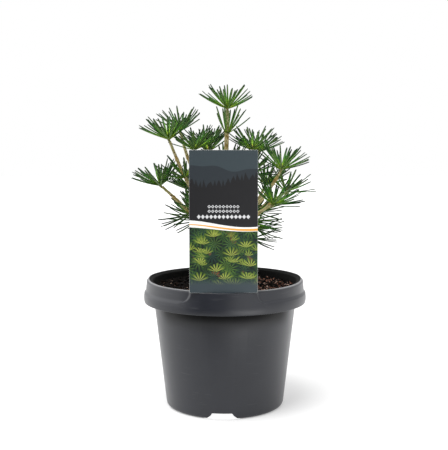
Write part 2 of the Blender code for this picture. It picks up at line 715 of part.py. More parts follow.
def make_whorl(whorl, needles):
    """One mass: its stem or collar, with all its needles fused on by one union."""
    base = stem_mesh(whorl) if whorl.limb_radius is None else collar_mesh(whorl)
    mass = add_part(f"needles_{whorl.name}", base, "needles", smooth_angle=30)
    sprig = bpy.data.collections.new(f"sprig_{whorl.name}")
    bpy.context.scene.collection.children.link(sprig)
    for root, tip, side in needles:
        sprig.objects.link(bpy.data.objects.new("needle", needle_mesh(root, tip, side)))
    union = mass.modifiers.new("fuse", "BOOLEAN")
    union.operation = "UNION"
    union.operand_type = "COLLECTION"
    union.collection = sprig
    union.solver = "EXACT"
    bake_modifiers(mass)
    for needle in list(sprig.objects):
        bpy.data.objects.remove(needle, do_unlink=True)
    bpy.data.collections.remove(sprig)


def main():
    clear_scene()
    make_pot()
    make_soil()
    make_label()
    limbs = [Limb(*row) for row in BOUGHS]
    whorls = list_whorls(limbs)
    make_limbs(limbs)
    grown = grow_needles(limbs, whorls)
    for whorl in whorls:
        make_whorl(whorl, grown[whorl.name])
    for whorl in whorls:
        print(f"{whorl.name}: {len(grown[whorl.name])} of {whorl.needles} needles")


main()
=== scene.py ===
# %% [markdown]
# # A young umbrella pine in its nursery pot
#
# The plant is a straight leader with upswept boughs, and every shoot ends in a whorl of flat needles,
# like the ribs of an umbrella. It grows in bark compost, in a moulded pot with a skirted rim, and a
# picture label stands in a slot in that rim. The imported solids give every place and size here, and this
# script makes the surface that the eye sees: bark, needles, compost, moulded plastic and print.
#
# Everything is worked out as whole numpy arrays: a surface is a grid of points with a formula for each
# point, and one call puts the array into a mesh. Lengths are in metres, +Z is up, and the front of the
# pot looks towards -Y.

import math
from dataclasses import dataclass

import bpy
import numpy as np
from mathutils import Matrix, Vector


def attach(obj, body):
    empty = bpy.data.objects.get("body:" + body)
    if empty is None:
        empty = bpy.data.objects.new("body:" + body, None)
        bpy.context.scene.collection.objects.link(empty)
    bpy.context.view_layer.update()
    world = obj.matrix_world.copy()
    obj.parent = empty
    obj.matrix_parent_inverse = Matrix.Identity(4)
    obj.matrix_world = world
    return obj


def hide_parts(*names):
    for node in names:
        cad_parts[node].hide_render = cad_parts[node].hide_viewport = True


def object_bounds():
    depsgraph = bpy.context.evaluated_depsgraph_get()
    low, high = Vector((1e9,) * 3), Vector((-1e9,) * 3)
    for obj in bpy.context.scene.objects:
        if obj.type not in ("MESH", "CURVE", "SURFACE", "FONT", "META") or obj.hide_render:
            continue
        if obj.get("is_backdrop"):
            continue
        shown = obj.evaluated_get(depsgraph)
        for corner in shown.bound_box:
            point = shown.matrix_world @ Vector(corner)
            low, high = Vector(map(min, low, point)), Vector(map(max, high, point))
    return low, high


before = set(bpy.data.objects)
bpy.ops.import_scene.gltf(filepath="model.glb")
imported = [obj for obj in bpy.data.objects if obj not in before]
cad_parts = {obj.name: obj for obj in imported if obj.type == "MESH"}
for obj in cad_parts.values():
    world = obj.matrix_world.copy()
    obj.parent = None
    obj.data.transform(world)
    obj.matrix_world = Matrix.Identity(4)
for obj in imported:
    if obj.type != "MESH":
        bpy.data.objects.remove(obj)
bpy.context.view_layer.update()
MM = 0.001

# %% [markdown]
# ## Camera, floor and light
#
# The picture is a shop photograph: the pot stands on white with white all round it. The camera is one
# metre away, a little higher than the label, and looks slightly down. Its lens comes from a focal length
# that was fitted to the pot's ellipses, in pixels of the photograph.
#
# Dark satin plastic shows what stands round it, so a plain white world would wash the pot out. This
# world is white to look at, but as light it has a dark room in front, turned a little to the left. Its
# left side is more than twice as bright as its right, and both draw pale edges down the pot. One soft
# lamp from above does the shaping and throws the soft shadow to the right of the pot.
#
# The floor glows, as a lit table does, which makes it as white as the world. As light it glows less in
# front of the pot and more at the right. Where it runs into the dark room it is dark to everything but
# the camera, and at the front right a patch of it shines like a white card: the rounded foot of the
# skirt mirrors that. Through the notch in the pot's foot the camera sees it white.

# %% Camera
PHOTO_LONG_SIDE = 450
FOCAL_PIXELS = 861.3
SENSOR = 36.0
CAMERA_PLACE = (-0.00107, -1.0, 0.3114)
CAMERA_DIP = 5.74

camera_data = bpy.data.cameras.new("camera")
camera_data.sensor_width = SENSOR
camera_data.lens = FOCAL_PIXELS * SENSOR / PHOTO_LONG_SIDE
camera = bpy.data.objects.new("camera", camera_data)
camera.location = CAMERA_PLACE
camera.rotation_euler = (math.radians(90 - CAMERA_DIP), 0, 0)
scene = bpy.context.scene
scene.collection.objects.link(camera)
scene.camera = camera
scene.view_settings.view_transform = "Standard"
print(f"lens {camera_data.lens:.1f} mm")

# %% [markdown]
# ## Two small tools for finishes
#
# A finish is a material whose nodes are added one by one. To keep the sums readable, a `Signal` wraps a
# socket, and arithmetic on it adds the Math nodes: `1 - 0.4 * speckle` reads as it is meant. Every node
# that isn't plain arithmetic comes from the one method `node`, which takes the node's type, its
# settings and what goes into its sockets.

# %% Colours and signals
def paint(red, green, blue):
    """A colour from 0 to 255 a channel, as linear light: the inverse of the sRGB curve."""
    parts = [c / 255 for c in (red, green, blue)]
    return (*[c / 12.92 if c <= 0.04045 else ((c + 0.055) / 1.055) ** 2.4 for c in parts], 1.0)


class Signal:
    """A number on its way through a tree of nodes. Arithmetic on it adds Math nodes."""

    def __init__(self, nodes, socket):
        self.nodes = nodes
        self.socket = socket

    def __add__(self, other):
        return self.nodes.math("ADD", self, other)

    def __sub__(self, other):
        return self.nodes.math("SUBTRACT", self, other)

    def __rsub__(self, other):
        return self.nodes.math("SUBTRACT", other, self)

    def __mul__(self, other):
        return self.nodes.math("MULTIPLY", self, other)

    def __truediv__(self, other):
        return self.nodes.math("DIVIDE", self, other)

    def __pow__(self, other):
        return self.nodes.math("POWER", self, other)

    def __abs__(self):
        return self.nodes.math("ABSOLUTE", self)

    __radd__ = __add__
    __rmul__ = __mul__


# %% Nodes
class Nodes:
    """Adds nodes to one tree, a material's or the world's."""

    def __init__(self, tree):
        self.tree = tree

    def put(self, socket, value):
        """A signal is linked to the socket, and anything else becomes its constant."""
        if isinstance(value, Signal):
            self.tree.links.new(value.socket, socket)
        else:
            socket.default_value = value

    def node(self, kind, settings=None, sockets=None, output=0):
        """Any node: its type, its settings, its sockets by name or number, and the output wanted."""
        made = self.tree.nodes.new(kind)
        for name, value in (settings or {}).items():
            setattr(made, name, value)
        for key, value in (sockets or {}).items():
            self.put(made.inputs[key], value)
        return Signal(self, made.outputs[output])

    def math(self, operation, *values):
        """A Math node on numbers or signals."""
        return self.node("ShaderNodeMath", {"operation": operation}, dict(enumerate(values)))

    def stretched(self, place, scales):
        """A place with each of its axes scaled."""
        return self.node("ShaderNodeVectorMath", {"operation": "MULTIPLY"}, {0: place, 1: scales})

    def axes(self, place):
        """The X, Y and Z of a place, as three signals."""
        split = self.node("ShaderNodeSeparateXYZ", None, {0: place})
        return [Signal(self, socket) for socket in split.socket.node.outputs]

    def noise(self, place, per_metre, detail=2.0, rough=0.5):
        """Cloudy variation from 0 to 1, with so many lumps a metre."""
        sockets = {"Vector": place, "Scale": per_metre, "Detail": detail, "Roughness": rough}
        return self.node("ShaderNodeTexNoise", None, sockets)

    def rise(self, value, low, high):
        """A smooth step: 0 below low, 1 above high. With low above high it falls."""
        sockets = {"Value": value, "From Min": low, "From Max": high}
        return self.node("ShaderNodeMapRange", {"interpolation_type": "SMOOTHSTEP"}, sockets)

    def blend(self, share, first, second):
        """A colour between two, by a share from 0 to 1."""
        sockets = {"Factor": share, 6: first, 7: second}
        return self.node("ShaderNodeMix", {"data_type": "RGBA"}, sockets, output=2)

    def relief(self, height, depth, strength=1.0):
        """A bump from a height signal, where 1 stands for so many metres."""
        sockets = {"Height": height, "Distance": depth, "Strength": strength}
        return self.node("ShaderNodeBump", None, sockets)


# %% Finishes
class Finish(Nodes):
    """A material for one kind of surface. Constants go straight on the shader's own sockets."""

    def __init__(self, name, colour, roughness, specular=0.5):
        self.material = bpy.data.materials.new(name)
        self.material.use_nodes = True
        super().__init__(self.material.node_tree)
        self.shader = self.tree.nodes["Principled BSDF"]
        self.wear(colour=colour, roughness=roughness)
        self.shader.inputs["Specular IOR Level"].default_value = specular

    def wear(self, colour=None, roughness=None, metallic=None, normal=None):
        """Sets what may change over the surface: its colour, roughness, share of metal and relief."""
        given = {"Base Color": colour, "Roughness": roughness, "Metallic": metallic, "Normal": normal}
        for name, value in given.items():
            if value is not None:
                self.put(self.shader.inputs[name], value)

    def place(self):
        """The point's own place on the object, in metres."""
        return self.node("ShaderNodeTexCoord", output="Object")


# %% The world: white to look at, with a dark room in front as light
# A pair says where a change begins and where it is full.
SIDE_LIGHT = 1.05
LEFT_LIGHT = 0.95
RIGHT_SHADE = 0.15
SIDE_FROM, SIDE_FULL = 0.4, 0.9
DARK_ROOM = 0.92
ROOM_TURN = math.radians(24)
ROOM_EDGE = (0.7, 0.93)
ROOM_TOP = (0.9, 0.5)


def into_room(aside, ahead):
    """How far a place or a direction lies towards the middle of the dark room."""
    return -math.sin(ROOM_TURN) * aside - math.cos(ROOM_TURN) * ahead


world = bpy.data.worlds.new("white surround")
world.use_nodes = True
surround = Nodes(world.node_tree)
background = world.node_tree.nodes["Background"]
aside, ahead, above = surround.axes(surround.node("ShaderNodeTexCoord", output="Generated"))
room = surround.rise(into_room(aside, ahead), *ROOM_EDGE) * surround.rise(above, *ROOM_TOP)
sides = LEFT_LIGHT * surround.rise(aside, -SIDE_FROM, -SIDE_FULL)
sides = sides - RIGHT_SHADE * surround.rise(aside, SIDE_FROM, SIDE_FULL)
light = (SIDE_LIGHT + sides) * (1 - DARK_ROOM * room)
seen = surround.node("ShaderNodeLightPath", output="Is Camera Ray")
surround.put(background.inputs["Color"], (1.0, 1.0, 1.0, 1.0))
surround.put(background.inputs["Strength"], light + seen * (1 - light))
scene.world = world
print(f"light from the left {SIDE_LIGHT + LEFT_LIGHT:.2f}, from the right {SIDE_LIGHT - RIGHT_SHADE:.2f}")

# %% The lamp
LAMP_FROM = (-0.32, -0.45, 1.5)
LAMP_LIGHT = 2.8
LAMP_SOFTNESS = 30
lamp_data = bpy.data.lights.new("soft lamp", "SUN")
lamp_data.energy = LAMP_LIGHT
lamp_data.angle = math.radians(LAMP_SOFTNESS)
lamp = bpy.data.objects.new("soft lamp", lamp_data)
lean = math.atan2(math.hypot(LAMP_FROM[0], LAMP_FROM[1]), LAMP_FROM[2])
lamp.rotation_euler = (lean, 0, math.atan2(LAMP_FROM[1], LAMP_FROM[0]) + math.pi / 2)
scene.collection.objects.link(lamp)
print(f"the lamp stands {math.degrees(lean):.0f} degrees off the upright")

# %% The floor's sizes, tones and glow
# Again a pair says where a change begins and where it is full. Only CARD_PLACE is a place.
FLOOR_HALF = 6.0
FLOOR_DROP = 0.2 * MM
FLOOR_PAINT = paint(190, 190, 190)
ROOM_PAINT = paint(30, 30, 30)
FLOOR_ROOM_EDGE = (0.8, 0.95)
FLOOR_ROOM_FROM = (0.25, 0.45)
GLOW = 0.33
FRONT_GLOW = 0.25
FRONT_TO_BEHIND = (-0.3, 0.05)
RIGHT_GLOW = 0.5
RIGHT_FROM = (0.12, 0.3)
NOTCH_MIDDLE_X = -3 * MM
NOTCH_HALF_WIDTH = (21 * MM, 19 * MM)
NOTCH_RADIUS = (68 * MM, 65 * MM)
NOTCH_END_Y = (-20 * MM, -30 * MM)
CARD_GLOW = 2.4
CARD_PLACE = (0.235, -0.41)
CARD_REACH = (0.24, 0.10)
BRIGHTEST = 4.0

# %% The floor
floor_mesh = bpy.data.meshes.new("floor")
corners = [(x * FLOOR_HALF, y * FLOOR_HALF, -FLOOR_DROP) for x, y in ((-1, -1), (1, -1), (1, 1), (-1, 1))]
floor_mesh.from_pydata(corners, [], [(0, 1, 2, 3)])
floor = bpy.data.objects.new("floor", floor_mesh)
scene.collection.objects.link(floor)
lit = Finish("floor", FLOOR_PAINT, 0.8)
seen = lit.node("ShaderNodeLightPath", output="Is Camera Ray")
aside, back, _ = lit.axes(lit.place())
from_pot = (aside * aside + back * back) ** 0.5
in_room = lit.rise(into_room(aside, back) / from_pot, *FLOOR_ROOM_EDGE)
in_room = in_room * lit.rise(from_pot, *FLOOR_ROOM_FROM)
from_card = ((aside - CARD_PLACE[0]) ** 2 + (back - CARD_PLACE[1]) ** 2) ** 0.5
white_card = lit.rise(from_card, *CARD_REACH)
in_notch = lit.rise(from_pot, *NOTCH_RADIUS) * lit.rise(abs(aside - NOTCH_MIDDLE_X), *NOTCH_HALF_WIDTH)
in_notch = in_notch * lit.rise(back, *NOTCH_END_Y)
glow = FRONT_GLOW + (1 - FRONT_GLOW) * lit.rise(back, *FRONT_TO_BEHIND)
glow = glow + RIGHT_GLOW * lit.rise(aside, *RIGHT_FROM)
glow = GLOW * (glow + seen * (1 - glow)) + seen * in_notch * (1 - GLOW)
glow = glow * (1 - in_room) + seen * in_room + CARD_GLOW * white_card * (1 - seen)
lit.wear(colour=lit.blend(in_room, FLOOR_PAINT, ROOM_PAINT))
# A Mix node's share stops at 1, so a glow brighter than that needs the strength as well.
glow_colour = lit.blend(glow / BRIGHTEST, (0.0, 0.0, 0.0, 1.0), (1.0, 1.0, 1.0, 1.0))
lit.put(lit.shader.inputs["Emission Color"], glow_colour)
lit.shader.inputs["Emission Strength"].default_value = BRIGHTEST
floor_mesh.materials.append(lit.material)
floor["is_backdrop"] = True
print(f"a floor {2 * FLOOR_HALF:.0f} m wide, {1000 * FLOOR_DROP:.1f} mm under the pot's foot")

# %% [markdown]
# ## Surfaces from arrays
#
# Almost everything here is a tube of some kind: a needle, a bough, a grain of bark, and even the pot,
# whose profile is carried round its axis. So one function makes the faces of any number of tubes at
# once. A tube is a stack of rings of points, closed by one pole at each end, and its faces point
# outwards when each ring runs anticlockwise about the way the tube is going.

# %% Tubes
def round_angles(columns):
    """As many angles as there are columns, evenly round a circle."""
    return np.arange(columns) * 2 * math.pi / columns


def tube_faces(tubes, rows, columns):
    """Quads between neighbouring rings and triangles to the two poles, for tubes whose points are
    stored one after another: all rings first, then the first pole and the last."""
    size = rows * columns + 2
    start = (np.arange(tubes) * size)[:, None, None]
    row = np.arange(rows - 1)[None, :, None] * columns
    column = np.arange(columns)[None, None, :]
    after = (column + 1) % columns
    quads = [start + row + column, start + row + after]
    quads += [start + row + columns + after, start + row + columns + column]
    quads = np.stack([np.broadcast_to(q, (tubes, rows - 1, columns)) for q in quads], -1)
    start, column, after = start[:, 0], column[0], after[0]
    poles = [start + size - 2 + 0 * column, start + size - 1 + 0 * column]
    last = start + (rows - 1) * columns
    ends = [np.stack([poles[0], start + after, start + column], -1)]
    ends.append(np.stack([poles[1], last + column, last + after], -1))
    return quads.reshape(-1, 4), np.stack(ends, 1).reshape(-1, 3)


def tube_points(rings, first, last):
    """The points of tubes in the order that tube_faces reads: rings is (tubes, rows, columns, 3)."""
    tubes = len(rings)
    flat = rings.reshape(tubes, -1, 3)
    return np.concatenate([flat, first.reshape(tubes, 1, 3), last.reshape(tubes, 1, 3)], 1).reshape(-1, 3)


# %% Meshes
def mesh_from_arrays(name, points, *blocks):
    """A mesh from an array of points and blocks of faces with as many corners each."""
    mesh = bpy.data.meshes.new(name)
    sizes = np.concatenate([np.full(len(block), block.shape[1]) for block in blocks])
    mesh.vertices.add(len(points))
    mesh.vertices.foreach_set("co", np.asarray(points, np.float32).ravel())
    mesh.loops.add(int(sizes.sum()))
    mesh.loops.foreach_set("vertex_index", np.concatenate([b.ravel() for b in blocks]).astype(np.int32))
    mesh.polygons.add(len(sizes))
    mesh.polygons.foreach_set("loop_start", (np.cumsum(sizes) - sizes).astype(np.int32))
    mesh.update(calc_edges=True)
    return mesh


def tube_mesh(name, rings, first=None, last=None):
    """A mesh of closed tubes. Without a pole given, it is the middle of the end ring."""
    rings = np.asarray(rings, float)
    first = rings[:, 0].mean(1) if first is None else np.asarray(first, float)
    last = rings[:, -1].mean(1) if last is None else np.asarray(last, float)
    points = tube_points(rings, first, last)
    return mesh_from_arrays(name, points, *tube_faces(*rings.shape[:3]))


# %% Pieces
def add_piece(name, mesh, finishes, nodes=(), sharp=40):
    """A piece of the plant: its finishes in order, and the solids it replaces, which are hidden."""
    piece = bpy.data.objects.new(name, mesh)
    scene.collection.objects.link(piece)
    mesh.materials.clear()
    for finish in finishes:
        mesh.materials.append(finish.material)
    mesh.shade_smooth()
    mesh.set_sharp_from_angle(angle=math.radians(sharp))
    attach(piece, "root")
    if nodes:
        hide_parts(*nodes)
    triangles = len(mesh.loops) - 2 * len(mesh.polygons)
    print(f"{name}: {triangles} triangles")


def face_centres(mesh):
    """The middle of each face, as an array."""
    centres = np.empty(3 * len(mesh.polygons), np.float32)
    mesh.polygons.foreach_get("center", centres)
    return centres.reshape(-1, 3)


def pick_finishes(mesh, numbers):
    """Says which of the piece's finishes each face wears. It comes after add_piece, which resets them."""
    mesh.polygons.foreach_set("material_index", np.asarray(numbers).ravel().astype(np.int32))


# %% Joining and cutting
def carve(mesh, operation, cutters):
    """Joins the cutter meshes to a mesh or takes them away from it, with one Boolean each."""
    work = bpy.data.objects.new("work", mesh)
    scene.collection.objects.link(work)
    for cutter in cutters:
        tool = bpy.data.objects.new("tool", cutter)
        scene.collection.objects.link(tool)
        modifier = work.modifiers.new("carve", "BOOLEAN")
        modifier.operation = operation
        modifier.solver = "MANIFOLD"
        modifier.object = tool
        bpy.context.view_layer.update()
        result = bpy.data.meshes.new_from_object(work.evaluated_get(bpy.context.evaluated_depsgraph_get()))
        work.modifiers.clear()
        work.data = result
        bpy.data.objects.remove(tool, do_unlink=True)
    bpy.data.objects.remove(work, do_unlink=True)
    return result


# %% [markdown]
# ## Relief that looks grown
#
# Bark, compost and scuffs need relief that never repeats. Blender's noise nodes give that inside a
# finish, but real shape needs it in the mesh. So the next function gives every corner of a lattice a
# random number, and blends them smoothly in between, for a whole array of points at once.

# %% Lattice relief
def lumps(points, size, seed=0):
    """Smooth random relief from -1 to 1: corners of a lattice, size metres wide, get a number from the
    fraction of a large sine, and a smooth step blends the eight corners round each point."""
    place = np.asarray(points) / size
    cell = np.floor(place)
    part = place - cell
    part = part * part * (3 - 2 * part)
    total = 0.0
    for corner in np.ndindex(2, 2, 2):
        near = np.where(np.array(corner) == 1, part, 1 - part)
        key = (cell + corner) @ np.array([127.1, 311.7, 74.7]) + 53.3 * seed
        total = total + near.prod(-1) * np.mod(np.sin(key) * 43758.5453, 1.0)
    return 2 * total - 1


def smooth_step(value, low, high):
    """0 below low, 1 above high and a smooth S between, for arrays."""
    share = np.clip((np.asarray(value) - low) / (high - low), 0, 1)
    return share * share * (3 - 2 * share)


# %% [markdown]
# ## The pot
#
# A nursery pot is one injection moulding of grey polypropylene. Its wall leans out from a rounded foot,
# and a skirt hangs from the rim so that the pot can be gripped and stacked. The upper band of the skirt
# is stepped back, except for a flush panel at the front, whose sides flare into the step with a fillet:
# the label stands there. The panel sits a little to the left, and flares wider on that side.
#
# It could be turned with a Screw modifier, but the panel isn't round. So the profile is carried round
# the axis as a grid, and each point of the upper band moves in by the step's depth unless it lies on
# the panel. The columns are closer together where the panel's edges run.

# %% The pot's sizes
POT_HEIGHT = 148 * MM
FOOT_RADIUS = 68.7 * MM
WALL_LEAN = 0.116
WALL = 1.6 * MM
POT_FLOOR = 2.0 * MM
FOOT_ROUND = 4.5 * MM
RIM_RADIUS = 91.2 * MM
SKIRT_RADIUS = 95.0 * MM
SKIRT_FOOT = 122.0 * MM
SKIRT_WIDEST = 127.0 * MM
STEP_LEVEL = 134.4 * MM
STEP_DEPTH = 1.7 * MM
STEP_HALF_HEIGHT = 2.0 * MM
LIP_DROP = 1.5 * MM
CREST_FRONT = 88.4 * MM
CREST_BEHIND = 90.2 * MM
RIM_WARP = 1.2 * MM
PANEL_HALF_WIDTH = 37.5 * MM
PANEL_FILLET = 11 * MM
PANEL_MIDDLE_X = -1.6 * MM
PANEL_EDGE_OUT = 2.4 * MM
PANEL_EDGE_IN = 1.4 * MM
LEFT_FLARE = 3.5 * MM
# Where the front's profile begins to change and where it is the one behind, as sines of the bearing.
FRONT_TO_BACK = (-0.3, 0.3)
GATE_RADIUS = 9 * MM
GATE_DEPTH = 0.5 * MM


def wall_radius(height):
    """Outer radius of the leaning wall."""
    return FOOT_RADIUS + WALL_LEAN * height


def skirt_radius(height):
    """Outer radius of the skirt's lower band, carried on up to the rim."""
    share = (height - SKIRT_WIDEST) / (POT_HEIGHT - SKIRT_WIDEST)
    return SKIRT_RADIUS + (RIM_RADIUS + STEP_DEPTH - SKIRT_RADIUS) * share


print(f"foot {2000 * FOOT_RADIUS:.1f} mm and skirt {2000 * SKIRT_RADIUS:.1f} mm across")


# %% Soft corners
def soften(corners, steps=5):
    """A line through (across, up, cut) corners, each turned into a short curve that starts and ends
    its cut away: the quadratic blend (1-t)^2 start + 2t(1-t) corner + t^2 end."""
    corners = np.asarray(corners, float)
    points = corners[:, :2]
    t = np.linspace(0, 1, steps)[:, None]
    line = [points[:1]]
    for before, here, after, cut in zip(points[:-2], points[1:-1], points[2:], corners[1:-1, 2]):
        back, on = before - here, after - here
        start = here + cut * back / np.linalg.norm(back)
        end = here + cut * on / np.linalg.norm(on)
        curve = (1 - t) ** 2 * start + 2 * t * (1 - t) * here + t**2 * end
        line.append(curve if cut > 0 else here[None])
    return np.concatenate([*line, points[-1:]])


# %% The pot's profile
def pot_profile(crest, rim):
    """(radius, height) from the middle of the underside, up the wall, under the skirt, up its face,
    over the lip, whose crest has this radius and height, and down inside to the floor. Also says at
    which row the face begins."""
    under = [(0.02 * MM, GATE_DEPTH, 0), (0.3 * GATE_RADIUS, GATE_DEPTH, 0.3 * MM)]
    under += [(GATE_RADIUS - GATE_DEPTH, GATE_DEPTH, 0.2 * MM), (GATE_RADIUS, 0, 0.2 * MM)]
    under += [(wall_radius(0), 0, FOOT_ROUND)]
    under += [(wall_radius(POT_HEIGHT - 2.5 * MM), POT_HEIGHT - 2.5 * MM, 0.5 * MM)]
    under += [(wall_radius(POT_HEIGHT) + 0.9 * MM, POT_HEIGHT - WALL, 0.3 * MM)]
    under += [(RIM_RADIUS - WALL, POT_HEIGHT - WALL, 0.5 * MM)]
    under += [(skirt_radius(STEP_LEVEL) - WALL - STEP_DEPTH, STEP_LEVEL - 0.7 * MM, 0.3 * MM)]
    under += [(skirt_radius(STEP_LEVEL) - WALL, STEP_LEVEL - 1.5 * MM, 0.3 * MM)]
    under += [(SKIRT_RADIUS - WALL, SKIRT_FOOT, 0.4 * MM), (SKIRT_RADIUS - 0.8 * MM, SKIRT_FOOT, 0.6 * MM)]
    below = STEP_LEVEL - STEP_HALF_HEIGHT - 0.4 * MM
    under += [(SKIRT_RADIUS + 0.2 * MM, SKIRT_WIDEST, 4 * MM), (skirt_radius(below), below, 0)]
    under = soften(under)
    step = np.linspace(STEP_LEVEL - STEP_HALF_HEIGHT, STEP_LEVEL + STEP_HALF_HEIGHT, 15)
    fillet = np.linspace(STEP_LEVEL + STEP_HALF_HEIGHT + 0.3 * MM, STEP_LEVEL + PANEL_FILLET, 20)
    heights = np.concatenate([step, fillet])
    lip_low = rim - LIP_DROP
    lip_start = lip_low - 0.8 * MM
    face = np.stack([skirt_radius(heights), heights], -1)
    lip_in = wall_radius(POT_HEIGHT) - WALL
    inner_foot = wall_radius(POT_FLOOR) - WALL
    lip = [(skirt_radius(lip_start), lip_start, 0), (skirt_radius(lip_low), lip_low, 0.7 * MM)]
    lip += [(crest, rim, 0.8 * MM), (lip_in, POT_HEIGHT - 1.2 * MM, MM)]
    lip += [(inner_foot, POT_FLOOR, 3 * MM), (0.02 * MM, POT_FLOOR, 0)]
    lip = soften(lip, steps=8)[1:]
    rows = np.concatenate([under, face, lip])
    return rows, len(under)


# %% The pot's columns
PANEL_EDGES_FROM = 33 * MM
PANEL_EDGES_TO = 50 * MM
PANEL_COLUMNS = 36
EDGE_COLUMNS = 44
BACK_COLUMNS = 232


def pot_bearings():
    """Angles round the pot, close together where the panel's two edges and fillets run."""
    near, far = PANEL_EDGES_FROM / RIM_RADIUS, PANEL_EDGES_TO / RIM_RADIUS
    middle = np.linspace(-near, near, PANEL_COLUMNS, endpoint=False)
    right = np.linspace(near, far, EDGE_COLUMNS, endpoint=False)
    round_back = np.linspace(far, 2 * math.pi - far, BACK_COLUMNS, endpoint=False)
    left = np.linspace(2 * math.pi - far, 2 * math.pi - near, EDGE_COLUMNS, endpoint=False)
    return np.concatenate([middle, right, round_back, left]) - math.pi / 2


print(f"{len(pot_bearings())} columns round the pot")


# %% The pot's mesh
def carried_round(radius, height, turns):
    """A profile carried round the axis: (radius cos a, radius sin a, height) for each angle a."""
    return np.stack([radius * np.cos(turns), radius * np.sin(turns), height + 0 * turns], -1)


def pot_mesh():
    """The profile carried round the axis, with the stepped band and the flush panel. Moulded rims
    seldom stay flat: this one stands a little higher behind, so two profiles are blended."""
    front, first_face = pot_profile(CREST_FRONT, POT_HEIGHT)
    behind, _ = pot_profile(CREST_BEHIND, POT_HEIGHT + RIM_WARP)
    bearings = pot_bearings()
    turned_back = smooth_step(np.sin(bearings), *FRONT_TO_BACK)
    radius = front[:, :1] + (behind - front)[:, :1] * turned_back
    height = front[:, 1:] + (behind - front)[:, 1:] * turned_back
    crest = CREST_FRONT + (CREST_BEHIND - CREST_FRONT) * turned_back
    turn = np.mod(bearings + 1.5 * math.pi - PANEL_MIDDLE_X / RIM_RADIUS, 2 * math.pi) - math.pi
    above = np.clip(height - (STEP_LEVEL - 0.3 * MM), 0, PANEL_FILLET)
    flare = PANEL_FILLET - np.sqrt(PANEL_FILLET**2 - (PANEL_FILLET - above) ** 2)
    half = PANEL_HALF_WIDTH + flare * np.where(turn < 0, 1 + LEFT_FLARE / PANEL_FILLET, 1)
    panel = smooth_step(np.abs(turn) * radius, half + PANEL_EDGE_OUT, half - PANEL_EDGE_IN)
    stepped = smooth_step(height, STEP_LEVEL - STEP_HALF_HEIGHT, STEP_LEVEL + STEP_HALF_HEIGHT)
    outer = smooth_step(radius - crest, 0, 2 * MM)
    on_face = (np.arange(len(front)) >= first_face)[:, None]
    reach = radius - on_face * STEP_DEPTH * stepped * outer * (1 - panel)
    return tube_mesh("pot", carried_round(reach, height, bearings)[None])


# %% [markdown]
# ### Drainage and the label's slot
#
# Three channels run in under the floor from the wall, so that water can leave the holes when the pot
# stands flat. In the mould they are ridges, so the floor rises over each one. The roofs are joined on
# first, then the tunnels, the holes and the label's slot are cut, as a mould's cores would.

# %% Sizes of channels, holes and slot
CHANNEL_BEARINGS = (267.4, 27.4, 147.4)
CHANNEL_TOP = 22.8 * MM
CHANNEL_FOOT = 37.5 * MM
CHANNEL_HEIGHT = 7.2 * MM
CHANNEL_START = 36 * MM
HOLE_RADIUS = 4 * MM
HOLE_REACH = 46 * MM
HOLE_ASIDE = 5 * MM
HOLE_COLUMNS = 28
# Each solid stands this far clear of its neighbours.
GAP = 0.3 * MM
LABEL_WIDTH = 73 * MM
LABEL_THICK = 0.8 * MM
LABEL_FOOT = 146.7 * MM
LABEL_TOP = 299.4 * MM
LABEL_MIDDLE_X = -1.6 * MM
LABEL_FRONT_Y = -89.3 * MM
TONGUE_WIDTH = 24 * MM
TONGUE_FOOT = 127 * MM
SEAT_BLOCK = 52 * MM
SEAT_BACK = -80 * MM
SLOT_FOOT = 120 * MM
PAST_FRONT = -100 * MM
PAST_TOP = 160 * MM
PAST_RIM = 200 * MM
print(f"channels {1000 * CHANNEL_FOOT:.1f} mm wide at the foot and {1000 * CHANNEL_HEIGHT:.1f} mm high")


# %% A channel's tunnel
def turn_about_z(points, bearing):
    """Points turned so that +X points along a bearing in degrees."""
    c, s = math.cos(math.radians(bearing)), math.sin(math.radians(bearing))
    return np.asarray(points) @ np.array([[c, s, 0], [-s, c, 0], [0, 0, 1]])


def channel(bearing, grow, end):
    """A channel's tunnel: its section, a flat roof whose sides round out to wide feet, carried along
    the bearing. Grown by a wall it is the roof over the tunnel."""
    top, foot = CHANNEL_TOP / 2 + grow, CHANNEL_FOOT / 2 + grow
    taller = 1 + grow / CHANNEL_HEIGHT
    below = 0.3 * MM if grow else -2 * MM
    side = [(foot, below, 0), (foot - 1.8 * MM, 1.0 * MM * taller, 1.2 * MM)]
    side += [(top + 0.9 * MM, 4.9 * MM * taller, 2.0 * MM), (top, CHANNEL_HEIGHT * taller, 0.9 * MM)]
    side += [(0, CHANNEL_HEIGHT * taller, 0)]
    half = soften(side)[:-1]
    section = np.concatenate([half, half[::-1] * [-1, 1]])
    rings = [[(x, y, z) for y, z in section] for x in (CHANNEL_START - grow, end)]
    return tube_mesh("channel", [turn_about_z(rings, bearing)])


# %% Posts, blocks and rings
def upright(outline, low, high):
    """A straight post between two heights, from an outline that runs anticlockwise."""
    rings = [[(x, y, z) for x, y in outline] for z in (low, high)]
    return tube_mesh("post", [rings])


def block(x, y, z):
    """A box between pairs of limits."""
    return upright([(x[0], y[0]), (x[1], y[0]), (x[1], y[1]), (x[0], y[1])], *z)


def turned(profile, columns=180):
    """A closed solid turned round Z from a closed (radius, height) loop, run anticlockwise seen with
    the radius to the right: each loop is a ring of a tube that goes round the axis."""
    loop = np.asarray(profile)
    points = carried_round(loop[None, :, 0], loop[None, :, 1], round_angles(columns)[:, None])
    rows, across = points.shape[:2]
    row, column = np.meshgrid(np.arange(rows), np.arange(across), indexing="ij")
    on, after = (row + 1) % rows, (column + 1) % across
    quads = [row * across + column, on * across + column, on * across + after, row * across + after]
    return mesh_from_arrays("turned", points.reshape(-1, 3), np.stack(quads, -1).reshape(-1, 4))


